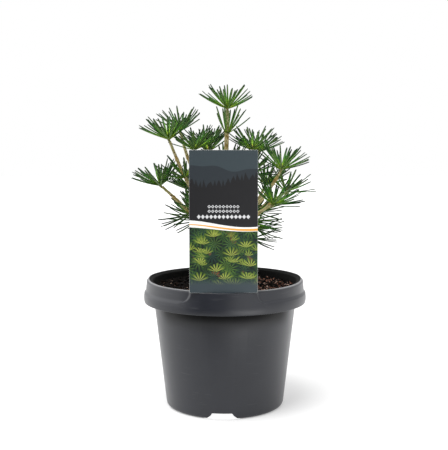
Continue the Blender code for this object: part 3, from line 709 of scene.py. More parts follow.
# %% What the roofs, the seat and the drains may fill
def inside_foot(columns=180):
    """The space that the channel roofs may fill: from the axis to half way into the foot's wall."""
    skin, top = WALL / 2, 14 * MM
    profile = [(0.01 * MM, skin, 0), (wall_radius(0) - skin, skin, FOOT_ROUND - skin)]
    profile += [(wall_radius(top) - skin, top, 0)]
    line = soften(profile)
    rings = carried_round(line[:, :1], line[:, 1:], round_angles(columns))
    return tube_mesh("inside foot", rings[None])


def rim_space():
    """The ring under the rim, reaching half into the wall and the skirt."""
    foot, top = 137 * MM, POT_HEIGHT - 0.7 * MM
    profile = [(wall_radius(foot) - WALL / 2, foot), (skirt_radius(foot) - STEP_DEPTH - 0.6 * MM, foot)]
    profile += [(RIM_RADIUS - 0.7 * MM, top), (wall_radius(top) - WALL / 2, top)]
    return turned(profile)


def drain(bearing, side):
    """A round post through the floor over a channel."""
    turns = round_angles(HOLE_COLUMNS)
    x, y, _ = turn_about_z([HOLE_REACH, side * HOLE_ASIDE, 0], bearing)
    outline = np.stack([x + HOLE_RADIUS * np.cos(turns), y + HOLE_RADIUS * np.sin(turns)], -1)
    return upright(outline, CHANNEL_HEIGHT - MM, CHANNEL_HEIGHT + 3 * WALL)


# %% The finished pot
label_back = LABEL_FRONT_Y + LABEL_THICK + GAP
seat_half = LABEL_WIDTH / 2 + 1.5 * MM
slot_half = TONGUE_WIDTH / 2 + GAP
roofs = [carve(channel(b, WALL, FOOT_RADIUS + MM), "INTERSECT", [inside_foot()]) for b in CHANNEL_BEARINGS]
block_x = (-SEAT_BLOCK / 2, SEAT_BLOCK / 2)
seat_block = block(block_x, (PAST_FRONT, SEAT_BACK), (SKIRT_FOOT, PAST_RIM))
seat_block = carve(seat_block, "INTERSECT", [rim_space()])
cuts = [channel(b, 0, SKIRT_RADIUS) for b in CHANNEL_BEARINGS]
cuts += [drain(b, side) for b in CHANNEL_BEARINGS for side in (-1, 1)]
seat_x = (LABEL_MIDDLE_X - seat_half, LABEL_MIDDLE_X + seat_half)
slot_x = (LABEL_MIDDLE_X - slot_half, LABEL_MIDDLE_X + slot_half)
cuts.append(block(seat_x, (PAST_FRONT, label_back), (LABEL_FOOT - GAP, PAST_TOP)))
cuts.append(block(slot_x, (LABEL_FRONT_Y - GAP, label_back), (SLOT_FOOT, PAST_TOP)))
pot = carve(carve(pot_mesh(), "UNION", [*roofs, seat_block]), "DIFFERENCE", cuts)
print(f"a pot of {len(pot.polygons)} faces, with {len(roofs)} roofs joined on and {len(cuts)} cuts")

# %% [markdown]
# ### Polypropylene
#
# The plastic is a satin, slightly blue grey. It is dark in itself, and most of what the eye sees is the
# bright surround mirrored in it, which grows stronger towards the edges. The finish adds what moulding
# and handling leave: a faint mottle, a fine grain and thin scuffs that run round the wall. Along the
# crest in front it also has a painted highlight, a pale line where the lip catches the light.
#
# The wall right under the skirt stands in deep shade, in front and behind. A smooth wall would mirror
# the bright surround at a shallow angle there, so that shade is painted on: the colour turns black, the
# finish rough, and a share of black metal takes the last of the gloss away. The inside is painted near
# black as shade, in a second finish, and faces choose between the two by their place.

# %% Where the plastic changes
# A pair says where a change begins and where it is full.
LIP_SHADE_LEVEL = 144 * MM
SHADE_LEVELS = (97 * MM, 119 * MM)
SHADE_FACING = (0.4, 0.7)
DEEP_SHADE_LEVELS = (109 * MM, 118 * MM)
DEEP_SHADE_FACING = (0.7, 0.93)
DEEP_SHADE_METAL = 0.62

plastic = Finish("pot plastic", paint(32, 34, 41), 0.33, specular=0.5)
place = plastic.place()
mottle = plastic.noise(place, 55, detail=3)
grain = plastic.noise(place, 2400, detail=1)
scuffs = plastic.noise(plastic.stretched(place, (40, 40, 700)), 1.0, detail=2)
scuffed = plastic.rise(scuffs, 0.66, 0.74)
tone = plastic.blend(mottle, paint(29, 31, 37), paint(35, 37, 44))
x, y, z = plastic.axes(place)
from_axis = (x * x + y * y) ** 0.5
depth_in = FOOT_RADIUS + WALL_LEAN * z - from_axis
# The inner wall and the inside of the lip, where the colour is painted near black as shade.
inside = plastic.rise(depth_in, 0.6 * WALL, 0.95 * WALL) * plastic.rise(z, POT_FLOOR - 0.2 * MM, POT_FLOOR)
behind = plastic.rise(y / from_axis, *FRONT_TO_BACK)
past_crest = from_axis - (CREST_FRONT + (CREST_BEHIND - CREST_FRONT) * behind)
lip_inside = plastic.rise(z, LIP_SHADE_LEVEL, LIP_SHADE_LEVEL + MM)
lip_inside = lip_inside * plastic.rise(past_crest, -0.2 * MM, -1.2 * MM)
inside = plastic.math("MAXIMUM", inside, lip_inside)
painted_crest_highlight = plastic.rise(abs(past_crest - 0.6 * MM), 1.1 * MM, 0.5 * MM) * plastic.rise(z, 146 * MM, 147 * MM)
outer_wall = plastic.rise(abs(depth_in), 0.8 * MM, 0.4 * MM)
facing = abs(y / from_axis)
# Painted shade under the skirt, in front and behind, and deeper still right under its foot.
painted_skirt_shade = outer_wall * plastic.rise(z, *SHADE_LEVELS) * plastic.rise(facing, *SHADE_FACING)
painted_deep_shade = outer_wall * plastic.rise(z, *DEEP_SHADE_LEVELS) * plastic.rise(facing, *DEEP_SHADE_FACING)
print(f"shade under the skirt from {1000 * SHADE_LEVELS[0]:.0f} to {1000 * SHADE_LEVELS[1]:.0f} mm up")

# %% The plastic's finish
tone = plastic.blend(0.25 * scuffed, tone, paint(70, 71, 74))
# A painted highlight: a pale line along the crest, in front only.
tone = plastic.blend(0.55 * painted_crest_highlight * (1 - behind), tone, paint(150, 150, 152))
# Painted shade: the wall under the skirt goes near black.
tone = plastic.blend(painted_skirt_shade, tone, paint(4, 4, 4))
# Painted shade: the inside goes near black.
plastic.wear(colour=plastic.blend(inside, tone, paint(3, 3, 3)))
plastic.wear(roughness=0.27 + 0.12 * mottle + 0.06 * scuffed + 0.5 * inside + 0.4 * painted_skirt_shade)
# Painted shade: black metal takes the gloss away right under the skirt.
plastic.wear(metallic=DEEP_SHADE_METAL * painted_deep_shade, normal=plastic.relief(grain, 0.02 * MM, 0.5))
print(f"the plastic's finish has {len(plastic.tree.nodes)} nodes")

# %% The inside, painted dark as shade, and the pot as a piece
# A near black finish: painted shade for the inside of the pot.
painted_inside_shade = Finish("pot inside", paint(9, 9, 9), 0.75, specular=0.1)
inside_noise = painted_inside_shade.noise(painted_inside_shade.place(), 180, detail=3)
painted_inside_shade.wear(roughness=0.65 + 0.2 * inside_noise)
face_x, face_y, face_z = face_centres(pot).T
face_radius = np.hypot(face_x, face_y)
crest = CREST_FRONT + (CREST_BEHIND - CREST_FRONT) * smooth_step(face_y / face_radius, *FRONT_TO_BACK)
on_inner_wall = (wall_radius(face_z) - face_radius > 0.9 * WALL) & (face_z > POT_FLOOR - 0.1 * MM)
inside_lip = (face_z > LIP_SHADE_LEVEL) & (face_radius < crest - 1.0 * MM)
add_piece("nursery_pot", pot, [plastic, painted_inside_shade], ["pot"], sharp=32)
pick_finishes(pot, on_inner_wall | inside_lip)

# %% [markdown]
# ## The compost
#
# Bark compost is dark, crumbly and full of chips: some black, some reddish brown, with pale specks of
# wood. A bump on a flat disc would look painted at this grazing view. So the top is a fine polar grid
# with real relief, and chips are strewn over it, the russet and grey ones mostly on the right. That is
# partly painted light: the pale chips gather where the lamp lights the compost. Each is a small rounded
# sliver of 36 faces, and all of one colour are joined in one mesh.

# %% The compost's body
SOIL_LEVEL = 139.5 * MM
SOIL_RIPPLE = 1.0 * MM
CRUMB_RELIEF = 0.45 * MM
COMPOST_COLUMNS = 260
COMPOST_ROWS = 88


def soil_height(x, y):
    """The compost's top: gentle waves, clods of 9 mm and crumbs of 2.5 mm."""
    points = np.stack([x, y, 0 * x], -1)
    return SOIL_LEVEL + SOIL_RIPPLE * (0.5 * lumps(points, 30 * MM, 1) + 0.6 * lumps(points, 9 * MM, 2)) \
        + CRUMB_RELIEF * lumps(points, 2.5 * MM, 3)


def compost_mesh():
    """Rows up the hidden side and then across the top, from the wall to the axis."""
    edge = wall_radius(SOIL_LEVEL) - WALL - GAP
    corner = (wall_radius(POT_FLOOR) - WALL - GAP, POT_FLOOR + GAP, 3 * MM)
    hidden = soften([(0.02 * MM, POT_FLOOR + GAP, 0), corner, (edge, SOIL_LEVEL - 2 * MM, 0)])
    turns = round_angles(COMPOST_COLUMNS)
    across = edge * np.linspace(1, 0.004, COMPOST_ROWS)
    radius = np.concatenate([hidden[:, 0], across])[:, None]
    x, y = radius * np.cos(turns), radius * np.sin(turns)
    calm = smooth_step(radius, edge, edge - 4 * MM)
    top = SOIL_LEVEL + (soil_height(x, y) - SOIL_LEVEL) * calm
    low = np.concatenate([hidden[:, 1], np.full(len(across), np.nan)])[:, None]
    z = np.where(np.isnan(low), top, low)
    return tube_mesh("compost", np.stack([x, y, z], -1)[None])


moulds = [channel(b, WALL + GAP, wall_radius(CHANNEL_HEIGHT) + 5 * MM) for b in CHANNEL_BEARINGS]
compost = carve(compost_mesh(), "DIFFERENCE", moulds)
print(f"compost of {len(compost.polygons)} faces, with {len(moulds)} channels left free")

# %% The compost's finish
peat = Finish("compost", paint(14, 11, 10), 0.95, specular=0.06)
place = peat.place()
crumb = peat.noise(place, 900, detail=4, rough=0.6)
patch = peat.noise(place, 120, detail=2)
tone = peat.blend(crumb, paint(4, 4, 3), paint(22, 16, 13))
peat.wear(colour=peat.blend(0.5 * patch, tone, paint(12, 9, 8)))
peat.wear(normal=peat.relief(crumb, 0.5 * MM))
add_piece("compost", compost, [peat], ["soil"])

# %% The shape of a chip
# Rings along a chip, from -1 at one end to 1 at the other.
CHIP_ROWS = np.array([-0.92, -0.5, 0.1, 0.62, 0.93])
CHIP_SIDES = 6
CHIP_REACH = (0.7, 1.2)


def chip_mesh(rng, count, spread, length, width, thick, lean=0.35):
    """Slivers of bark: rings along a long axis whose reach is (1 - t^2)^0.35, each corner moved in or
    out by chance. Each sliver is turned, tipped a little and laid on the compost, at a bearing within
    the spread of +X."""
    edge = wall_radius(SOIL_LEVEL) - WALL - length[1] / 2 - 0.6 * MM
    far = edge * np.sqrt(rng.uniform(0.008, 1, count))
    bearing = rng.uniform(-spread, spread, count)
    x, y = far * np.cos(bearing), far * np.sin(bearing)
    long = rng.uniform(*length, count)
    wide = rng.uniform(*width, count)
    flat = rng.uniform(*thick, count)
    z = soil_height(x, y) + rng.uniform(0.1, 0.7, count) * flat
    yaw, pitch = rng.uniform(0, 2 * math.pi, count), rng.normal(0, lean, count)
    ahead = np.stack([np.cos(yaw) * np.cos(pitch), np.sin(yaw) * np.cos(pitch), np.sin(pitch)], -1)
    side = np.stack([-np.sin(yaw), np.cos(yaw), rng.normal(0, 0.3, count)], -1)
    side /= np.linalg.norm(side, axis=-1, keepdims=True)
    over = np.cross(ahead, side)
    turns = round_angles(CHIP_SIDES)
    corners = rng.uniform(*CHIP_REACH, (count, len(CHIP_ROWS), CHIP_SIDES))
    reach = ((1 - CHIP_ROWS**2) ** 0.35)[None, :, None] * corners
    rings = np.stack([x, y, z], -1)[:, None, None] \
        + (0.5 * long[:, None] * CHIP_ROWS)[..., None, None] * ahead[:, None, None] \
        + (0.5 * wide[:, None, None] * reach * np.cos(turns))[..., None] * side[:, None, None] \
        + (0.5 * flat[:, None, None] * reach * np.sin(turns))[..., None] * over[:, None, None]
    return tube_mesh("chips", rings)


# %% Chips on the compost
# Each row: name, seed, count, spread, then length, width and thickness in millimetres, and colour.
ALL_ROUND = math.pi
CHIPS = (
    ("chips_dark", 31, 1000, ALL_ROUND, (3, 9), (1.4, 3.4), (0.7, 1.8), paint(12, 10, 9)),
    ("chips_brown", 34, 260, ALL_ROUND, (2.5, 8), (1.2, 3.2), (0.6, 1.6), paint(36, 26, 21)),
    # The russet and grey chips keep to the right: partly painted light, where the compost is lit.
    ("chips_russet", 32, 380, 0.62 * ALL_ROUND, (2, 6.5), (1.0, 2.6), (0.6, 1.5), paint(130, 90, 76)),
    ("chips_grey", 35, 270, 0.62 * ALL_ROUND, (2, 6), (0.9, 2.4), (0.5, 1.4), paint(158, 132, 122)),
    ("chips_pale", 33, 230, ALL_ROUND, (1.0, 3.4), (0.5, 1.2), (0.4, 0.8), paint(170, 142, 126)),
)
for name, seed, count, spread, length, width, thick, colour in CHIPS:
    sizes = [(low * MM, high * MM) for low, high in (length, width, thick)]
    chips = Finish(name, colour, 0.85, specular=0.05)
    fibres = chips.noise(chips.place(), 1500, detail=3)
    chips.wear(roughness=0.7 + 0.25 * fibres, normal=chips.relief(fibres, 0.15 * MM))
    mesh = chip_mesh(np.random.default_rng(seed), count, spread, *sizes)
    add_piece(name, mesh, [chips], sharp=50)

# %% [markdown]
# ## The picture label
#
# The label is a stiff printed card, 0.8 mm thick, on a tongue that goes down into the rim. Its print is
# a plain design for such a card: an evening sky behind hills, three rows of ornament where a title would
# stand, a white and orange band, and a close view of foliage that fades into a slate foot.
#
# An image would need a file. Here the whole print is worked out from where a point lies on the card,
# with every shape as a small formula: a hill is everything below a wavy line, a lozenge is all that lies
# within one distance, and the foliage is made of cells whose needles fan out by angle.

# %% The card
CARD_ROUND = 1.4 * MM
CARD_EDGE = 0.12 * MM


def card_mesh():
    """The outline, clockwise seen from the front, carried through the card's thickness with a fine
    bevel at each face."""
    half, tongue = LABEL_WIDTH / 2, TONGUE_WIDTH / 2
    side = [(0, TONGUE_FOOT, 0), (tongue - 3 * MM, TONGUE_FOOT, MM), (tongue, TONGUE_FOOT + 4 * MM, MM)]
    side += [(tongue, LABEL_FOOT, 0.5 * MM), (half, LABEL_FOOT, CARD_ROUND), (half, LABEL_TOP, CARD_ROUND)]
    side += [(0, LABEL_TOP, 0)]
    half_line = soften(side)[1:-1]
    outline = np.concatenate([half_line, half_line[::-1] * [-1, 1]])
    middle = np.array([0, (LABEL_FOOT + LABEL_TOP) / 2])
    sections = ((CARD_EDGE, 0), (0, CARD_EDGE), (0, LABEL_THICK - CARD_EDGE), (CARD_EDGE, LABEL_THICK))
    rings = []
    for inset, depth in sections:
        x, z = (outline - inset * np.sign(outline - middle)).T
        rings.append(np.stack([LABEL_MIDDLE_X + x, LABEL_FRONT_Y + depth + 0 * x, z], -1))
    rings = np.array(rings)[:, ::-1]
    first = [[LABEL_MIDDLE_X, LABEL_FRONT_Y, middle[1]]]
    last = [[LABEL_MIDDLE_X, LABEL_FRONT_Y + LABEL_THICK, middle[1]]]
    return tube_mesh("card", [rings], first, last)


card = card_mesh()
on_front = face_centres(card)[:, 1] < LABEL_FRONT_Y + 0.25 * CARD_EDGE
print(f"{on_front.sum()} faces carry the print")

# %% The print: hills and firs
ink = Finish("label print", paint(44, 44, 46), 0.32, specular=0.35)
x, _, z = ink.axes(ink.place())
u = (x - (LABEL_MIDDLE_X - LABEL_WIDTH / 2)) / LABEL_WIDTH
v = (z - LABEL_FOOT) / (LABEL_TOP - LABEL_FOOT)
CARD_RATIO = (LABEL_TOP - LABEL_FOOT) / LABEL_WIDTH


def wavy(level, *waves):
    """A level line with waves on it, each (height, waves across the card, start)."""
    line = level
    for height, across, start in waves:
        line = height * ink.math("SINE", u * (2 * math.pi * across) + start) + line
    return line


CHARCOAL, SLATE, DUSK = paint(35, 35, 37), paint(60, 70, 75), paint(48, 54, 59)
FIR_HEIGHT = 0.19
FIRS_ACROSS = 15
PRINT_EDGE = 0.002
far_hills = wavy(0.875, (0.020, 0.9, 0.6), (0.008, 2.3, 2.0))
near_hills = wavy(0.77, (0.030, 0.75, 3.4), (0.008, 3.1, 1.0))
tallness = ink.noise(ink.node("ShaderNodeCombineXYZ", None, {0: u}), 7, detail=1)
firs = tallness * ink.math("PINGPONG", FIRS_ACROSS * u + 2 * tallness, 0.5)
art = ink.blend(ink.rise(far_hills - v, -PRINT_EDGE, PRINT_EDGE), SLATE, DUSK)
art = ink.blend(ink.rise(near_hills + FIR_HEIGHT * firs - v, -PRINT_EDGE, PRINT_EDGE), art, CHARCOAL)
print(f"the card is {CARD_RATIO:.2f} times as tall as it is wide")


# %% Three chains of lozenges, where a title would stand
def chain(level, half_width, pitch, tall, hollow):
    """A row of lozenges: inside, the distances along and up, each over its own reach, add to less than
    one. The hollow ones leave out the middle."""
    from_middle = ink.math("PINGPONG", u - 0.5, pitch / 2) / (pitch / 2)
    distance = from_middle + abs(v - level) * (CARD_RATIO / tall)
    mask = ink.rise(distance, 1.05, 0.85) * ink.rise(abs(u - 0.5), half_width, half_width - 0.004)
    return mask * ink.rise(distance, 0.35, 0.6) if hollow else mask


# Each row: level, half width, pitch and tallness as shares of the card, and whether it is hollow.
CHAINS = (
    (0.607, 0.235, 0.052, 0.026, True),
    (0.575, 0.235, 0.052, 0.026, True),
    (0.536, 0.39, 0.06, 0.034, False),
)
upper, middle, lower = [chain(*row) for row in CHAINS]
art = ink.blend(0.9 * (upper + middle + lower), art, paint(226, 227, 229))
print(f"{len(CHAINS)} chains of lozenges")

# %% Tufts of needles
along_card = ink.node("ShaderNodeCombineXYZ", None, {0: u, 1: v * CARD_RATIO})


def tufts(scale, shift, needles, thin, open_up):
    """Tufts in cells, each of them all that lies nearest to a point of its own. Needles fan out from
    that point by the cosine of the angle round it, and with open_up they only rise. Gives the mask, the
    nearness to the point and the cell's own number."""
    shifted = {0: along_card, 1: (shift, shift / 2, 0)}
    moved = ink.node("ShaderNodeVectorMath", {"operation": "ADD"}, shifted)
    settings = {"voronoi_dimensions": "2D"}
    cell = ink.node("ShaderNodeTexVoronoi", settings, {"Vector": moved, "Scale": scale}, "Position")
    away = ink.node("ShaderNodeVectorMath", {"operation": "SUBTRACT"}, {0: moved, 1: cell})
    across, up, _ = ink.axes(away)
    reach = scale * (across * across + up * up) ** 0.5
    around = ink.math("ARCTAN2", across, up)
    number = ink.node("ShaderNodeTexWhiteNoise", {"noise_dimensions": "2D"}, {"Vector": cell})
    fan = ink.math("COSINE", needles * around + 6 * number)
    mask = ink.rise(fan, thin - 0.3, thin + 0.3) * ink.rise(reach, 0.66, 0.5)
    mask = mask * ink.rise(abs(around), 1.5, 1.2) if open_up else mask
    return mask, ink.rise(reach, 0.6, 0.1), number


# %% The foliage picture
haze = ink.noise(along_card, 14, detail=3)
picture = ink.blend(haze, paint(10, 15, 15), paint(28, 42, 38))
picture = ink.blend(ink.rise(ink.noise(along_card, 5.3, detail=2), 0.60, 0.68), picture, paint(112, 68, 44))
# Each row: tufts across the card, shift, needles, thinness, whether they only rise, and two tones.
LAYERS = (
    (4.6, 0.0, 11, 0.35, False, paint(22, 44, 40), paint(54, 88, 72)),
    (5.4, 3.3, 10, 0.35, False, paint(28, 52, 32), paint(68, 102, 44)),
    (3.9, 5.6, 12, 0.30, False, paint(32, 62, 34), paint(90, 124, 50)),
    (4.3, 7.9, 13, 0.05, True, paint(84, 108, 38), paint(172, 182, 84)),
    (5.2, 9.4, 12, 0.05, True, paint(76, 104, 40), paint(150, 164, 70)),
)
for scale, shift, needles, thin, open_up, far_tone, near_tone in LAYERS:
    mask, near, number = tufts(scale, shift, needles, thin, open_up)
    chosen = ink.rise(number, 0.35, 0.45) if open_up else 0.5 + 0.5 * number
    picture = ink.blend(mask * chosen, picture, ink.blend(near, far_tone, near_tone))
SLATE_FOOT = (0.125, 0.05)
picture = ink.blend(ink.rise(v, *SLATE_FOOT), picture, SLATE)
print(f"{len(LAYERS)} layers of tufts")

# %% The band between the two pictures
BAND_LEVEL = 0.468
BAND_SWING = 0.02
BAND_HALF = (0.021, 0.019)
swing = ink.math("COSINE", 3.4 * u + 0.3)
band = BAND_LEVEL + BAND_SWING * swing
art = ink.blend(ink.rise(band - v, 0.0, PRINT_EDGE), art, picture)
art = ink.blend(ink.rise(abs(v - band) - 0.005 * swing, *BAND_HALF), art, paint(250, 249, 246))
stripe_half = 0.003 + 0.005 * u
stripe = ink.rise(abs(v - band + 0.004) - stripe_half, 0.001, -0.001)
art = ink.blend(stripe, art, paint(236, 164, 62))
ink.wear(colour=art, roughness=0.3 + 0.08 * haze)
print(f"the label's print has {len(ink.tree.nodes)} nodes")

# %% The label's back, and the label as a piece
card_back = Finish("label back", paint(214, 214, 210), 0.4, specular=0.45)
fibre = card_back.noise(card_back.place(), 700, detail=2)
card_back.wear(colour=card_back.blend(fibre, paint(208, 208, 204), paint(220, 220, 216)))
card_back.wear(normal=card_back.relief(fibre, 0.01 * MM))
add_piece("picture_label", card, [ink, card_back], ["plant_label"], sharp=30)
pick_finishes(card, np.where(on_front, 0, 1))

# %% [markdown]
# ## The leader
#
# The leader is this plant's trunk: it flares into three low lobes at the compost, leans a little to the
# right and thins to a green tip less than 4 mm across. Old wood has shallow fissures and flakes, young
# wood is smooth, with a spiral of small scars where scale leaves sat, and it swells into a ring wherever
# a whorl or a bough leaves it.
#
# Rings of 32 points follow its axis every half millimetre. That is fine enough for the relief to be
# real shape, so the outline of the stem shows it too.

# %% The leader's sizes
# Each row: height and radius.
LEADER = (
    (SOIL_LEVEL + GAP, 9.0 * MM),
    (143 * MM, 7.0 * MM),
    (150 * MM, 5.6 * MM),
    (180 * MM, 5.0 * MM),
    (225 * MM, 4.2 * MM),
    (265 * MM, 3.2 * MM),
    (300 * MM, 2.3 * MM),
    (342.6 * MM, 1.9 * MM),
)
LEADER_BARK = 0.3 * MM
LEADER_LEAN = 2.8 * MM
LEADER_TIP = 346 * MM
LEADER_COLUMNS = 32
LEADER_STEP = 0.5 * MM
LEADER_START = SOIL_LEVEL - 2.5 * MM
LEADER_END = LEADER_TIP - 2.4 * MM
FLARE_LOBES = 3
FLARE_DEPTH = 0.16
FLARE_TOP = 150 * MM
LEADER_NODES = (319 * MM, 278 * MM)
GOLDEN_TURN = math.radians(137.508)
print(f"the leader thins from {2000 * LEADER[0][1]:.0f} to {2000 * LEADER[-1][1]:.1f} mm across")


# %% The leader's axis and radius
def leader_centre(height):
    """The axis: it leans to +X by the square of its share of the way up, with a slight sway in Y."""
    share = (np.asarray(height) - SOIL_LEVEL) / (LEADER_TIP - SOIL_LEVEL)
    lean = LEADER_LEAN * share * share
    return np.stack([lean, 0.35 * LEADER_LEAN * np.sin(5 * share), np.asarray(height) + 0 * share], -1)


def leader_radius(height):
    """The radius between its named stations."""
    heights, radii = zip(*LEADER)
    return np.interp(height, heights, radii)


def swelling(along, places, width):
    """A rounded rise of one at each place, with bell-shaped sides."""
    gaps = (np.asarray(along)[..., None] - np.asarray(places)) / width
    return np.exp(-gaps * gaps).sum(-1)


# %% Bark's relief
def bark(rings, old):
    """Relief in metres: fissures that run along the stem and flakes across them, as deep as the wood
    is old. Ridged noise, one less twice the size of the lumps, gives each its sharp crest."""
    tall = rings * [1, 1, 0.22]
    fissures = 1 - 2 * np.abs(lumps(tall, 1.5 * MM, 5))
    flakes = 1 - 2 * np.abs(lumps(rings, 2.6 * MM, 6))
    fine = lumps(rings, 0.5 * MM, 7)
    return old * (0.17 * MM * fissures + 0.10 * MM * flakes) + 0.035 * MM * fine


def scars(along, turns, places, first_turn):
    """Small bumps one golden turn apart: a bell in the distance along and round the stem."""
    bearings = first_turn + GOLDEN_TURN * np.arange(len(places))
    off = np.mod(turns[None, :, None] - bearings + math.pi, 2 * math.pi) - math.pi
    lift = (along[:, None, None] - np.asarray(places)) / (0.8 * MM)
    return np.exp(-lift**2 - (off / 0.4) ** 2).sum(-1)


# %% The leader's mesh
def leader_mesh(height, forks):
    """Level rings from just under the compost to the top whorl. At each fork the stem swells."""
    turns = round_angles(LEADER_COLUMNS)
    flare = FLARE_DEPTH * np.clip((FLARE_TOP - height) / (FLARE_TOP - SOIL_LEVEL), 0, 1)
    base = leader_radius(height)[:, None] * (1 + flare[:, None] * np.cos(FLARE_LOBES * turns + 0.6))
    round_it = np.stack([np.cos(turns), np.sin(turns), 0 * turns], -1)
    centre = leader_centre(height)[:, None]
    old = smooth_step(height, 300 * MM, 180 * MM)[:, None]
    rings = centre + base[..., None] * round_it
    grown = base + LEADER_BARK * (1 - old) + bark(rings, 0.25 + 0.75 * old)
    grown = grown + 0.7 * MM * swelling(height, LEADER_NODES, 1.8 * MM)[:, None]
    grown = grown + 0.35 * MM * swelling(height, forks, 2.4 * MM)[:, None]
    young_places = np.arange(225 * MM, 342 * MM, 2.6 * MM)
    grown = grown + 0.22 * MM * scars(height, turns, young_places, 1.0)
    return tube_mesh("leader", (centre + grown[..., None] * round_it)[None])


leader_heights = np.arange(LEADER_START, LEADER_END, LEADER_STEP)
print(f"the leader has {len(leader_heights)} rings of {LEADER_COLUMNS} points")

# %% [markdown]
# ## The boughs
#
# Each bough leaves the leader at a slant, bends up towards the light and ends under its whorl. Its axis
# is one cubic curve with a handle at each end, worked out from a row of plain facts: which way it
# grows, how far it reaches, how high it starts and ends, and how steep it is there. That is the rule the
# solids were made by, so the bark lies exactly where they are.
#
# The relief follows the stem: a swollen foot where it leaves the leader, knuckles where last year's
# growth ended, and the same scars. All boughs are joined in one piece.

# %% The boughs' table
# Each row: name, bearing, reach, height of the fork and of the whorl in millimetres, and two slopes.
BOUGHS = (
    ("left_high_front", 201, 70, 196, 311, 48, 68),
    ("left_high_back", 158, 59, 223, 321, 42, 77),
    ("left_low", 186, 77, 186, 258, 43, 42),
    ("left_inner", 184, 37, 237, 299, 48, 74),
    ("left_middle_back", 143, 50, 201, 250, 36, 58),
    ("left_foot", 146, 44, 172, 214, 34, 52),
    ("back_inner", 122, 40, 242, 297, 46, 72),
    ("back_high", 84, 60, 206, 268, 38, 68),
    ("back_left", 113, 66, 216, 301, 42, 74),
    ("back_right", 50, 60, 222, 296, 42, 74),
    ("back_low", 95, 64, 184, 240, 34, 60),
    ("back_foot", 72, 50, 165, 208, 32, 55),
    ("right_inner", 346, 30, 232, 299, 46, 84),
    ("right_high", 340, 66, 203, 277, 36, 62),
    ("right_middle_back", 36, 58, 198, 257, 34, 62),
    ("right_middle", 3, 70, 216, 250, 18, 36),
    ("right_low", 324, 65, 190, 238, 36, 24),
    ("right_low_back", 30, 42, 184, 225, 34, 50),
    ("right_foot", 7, 33.5, 172, 207, 34, 48),
    ("right_foot_back", 44, 43, 158, 192, 30, 44),
    ("front_inner", 258, 37, 214, 268, 44, 70),
    ("front_low", 283, 42, 174, 222, 34, 56),
    ("front_left", 236, 46, 180, 232, 34, 58),
)
print(f"{len(BOUGHS)} boughs")

# %% The boughs' rule
BOUGH_FOOT_RADIUS = 2.5 * MM
BOUGH_TIP_RADIUS = 1.35 * MM
REACH_MIDDLE_X = 2 * MM
HANDLE = 0.36
STEM_FOOT = 3.0 * MM
UP = np.array([0.0, 0.0, 1.0])
# Where a limb's knuckles are, as shares of the way along it.
KNUCKLES = {"left_high_front": (0.70, 0.84), "left_low": (0.56, 0.835), "right_high": (0.76, 0.9)}
USUAL_KNUCKLES = (0.42, 0.74)


class Limb:
    """A limb's axis as a cubic curve from the leader to its whorl, with a straight taper."""

    def __init__(self, name, bearing, reach, fork, height, rise, tip_rise):
        self.name = name
        angle = math.radians(bearing)
        out = np.array([math.cos(angle), math.sin(angle), 0.0])
        self.side = np.array([-out[1], out[0], 0.0])
        start = leader_centre(fork * MM)
        self.node = leader_centre(height * MM) * [0, 0, 1] + out * reach * MM + [REACH_MIDDLE_X, 0, 0]
        chord = np.linalg.norm(self.node - start)
        leave = out * math.cos(math.radians(rise)) + UP * math.sin(math.radians(rise))
        arrive = out * math.cos(math.radians(tip_rise)) + UP * math.sin(math.radians(tip_rise))
        end = self.node - (STEM_FOOT + GAP) * arrive
        self.handles = np.array([start, start + HANDLE * chord * leave, end - HANDLE * chord * arrive, end])
        self.foot_radius = min(BOUGH_FOOT_RADIUS, 0.62 * leader_radius(fork * MM))

    def point(self, share):
        """The axis: (1-t)^3 a + 3t(1-t)^2 b + 3t^2(1-t) c + t^3 d, from the four handles a to d."""
        t = np.asarray(share)[..., None]
        weights = ((1 - t) ** 3, 3 * t * (1 - t) ** 2, 3 * t * t * (1 - t), t**3)
        return sum(weight * handle for weight, handle in zip(weights, self.handles))

    def along(self, share):
        """The axis's direction: the curve's first derivative, made one unit long."""
        t = np.asarray(share)[..., None]
        a, b, c, d = self.handles
        slope = (1 - t) ** 2 * (b - a) + 2 * t * (1 - t) * (c - b) + t * t * (d - c)
        return slope / np.linalg.norm(slope, axis=-1, keepdims=True)

    def radius(self, share):
        """A straight taper from the foot's radius to the tip's."""
        return self.foot_radius + (BOUGH_TIP_RADIUS - self.foot_radius) * np.asarray(share)


# %% The boughs' axes
limbs = [Limb(*row) for row in BOUGHS]
by_name = {limb.name: limb for limb in limbs}
lines = [limb.point(np.linspace(0, 1, 60)) for limb in limbs]
lengths = [1000 * np.linalg.norm(np.diff(line, axis=0), axis=1).sum() for line in lines]
print(f"boughs from {min(lengths):.0f} to {max(lengths):.0f} mm long")

# %% The boughs' mesh
BOUGH_ROWS = 130
BOUGH_COLUMNS = 14
BOUGH_BARK = 0.15 * MM


def across_path(centres, directions, side, widths, heights, columns):
    """Rings across a path: centre + width cos(a) side + height sin(a) (direction x side)."""
    turns = round_angles(columns)
    side = np.broadcast_to(side, centres.shape)
    other = np.cross(directions, side)
    return centres[..., None, :] + (widths * np.cos(turns))[..., None] * side[..., None, :] \
        + (heights * np.sin(turns))[..., None] * other[..., None, :]


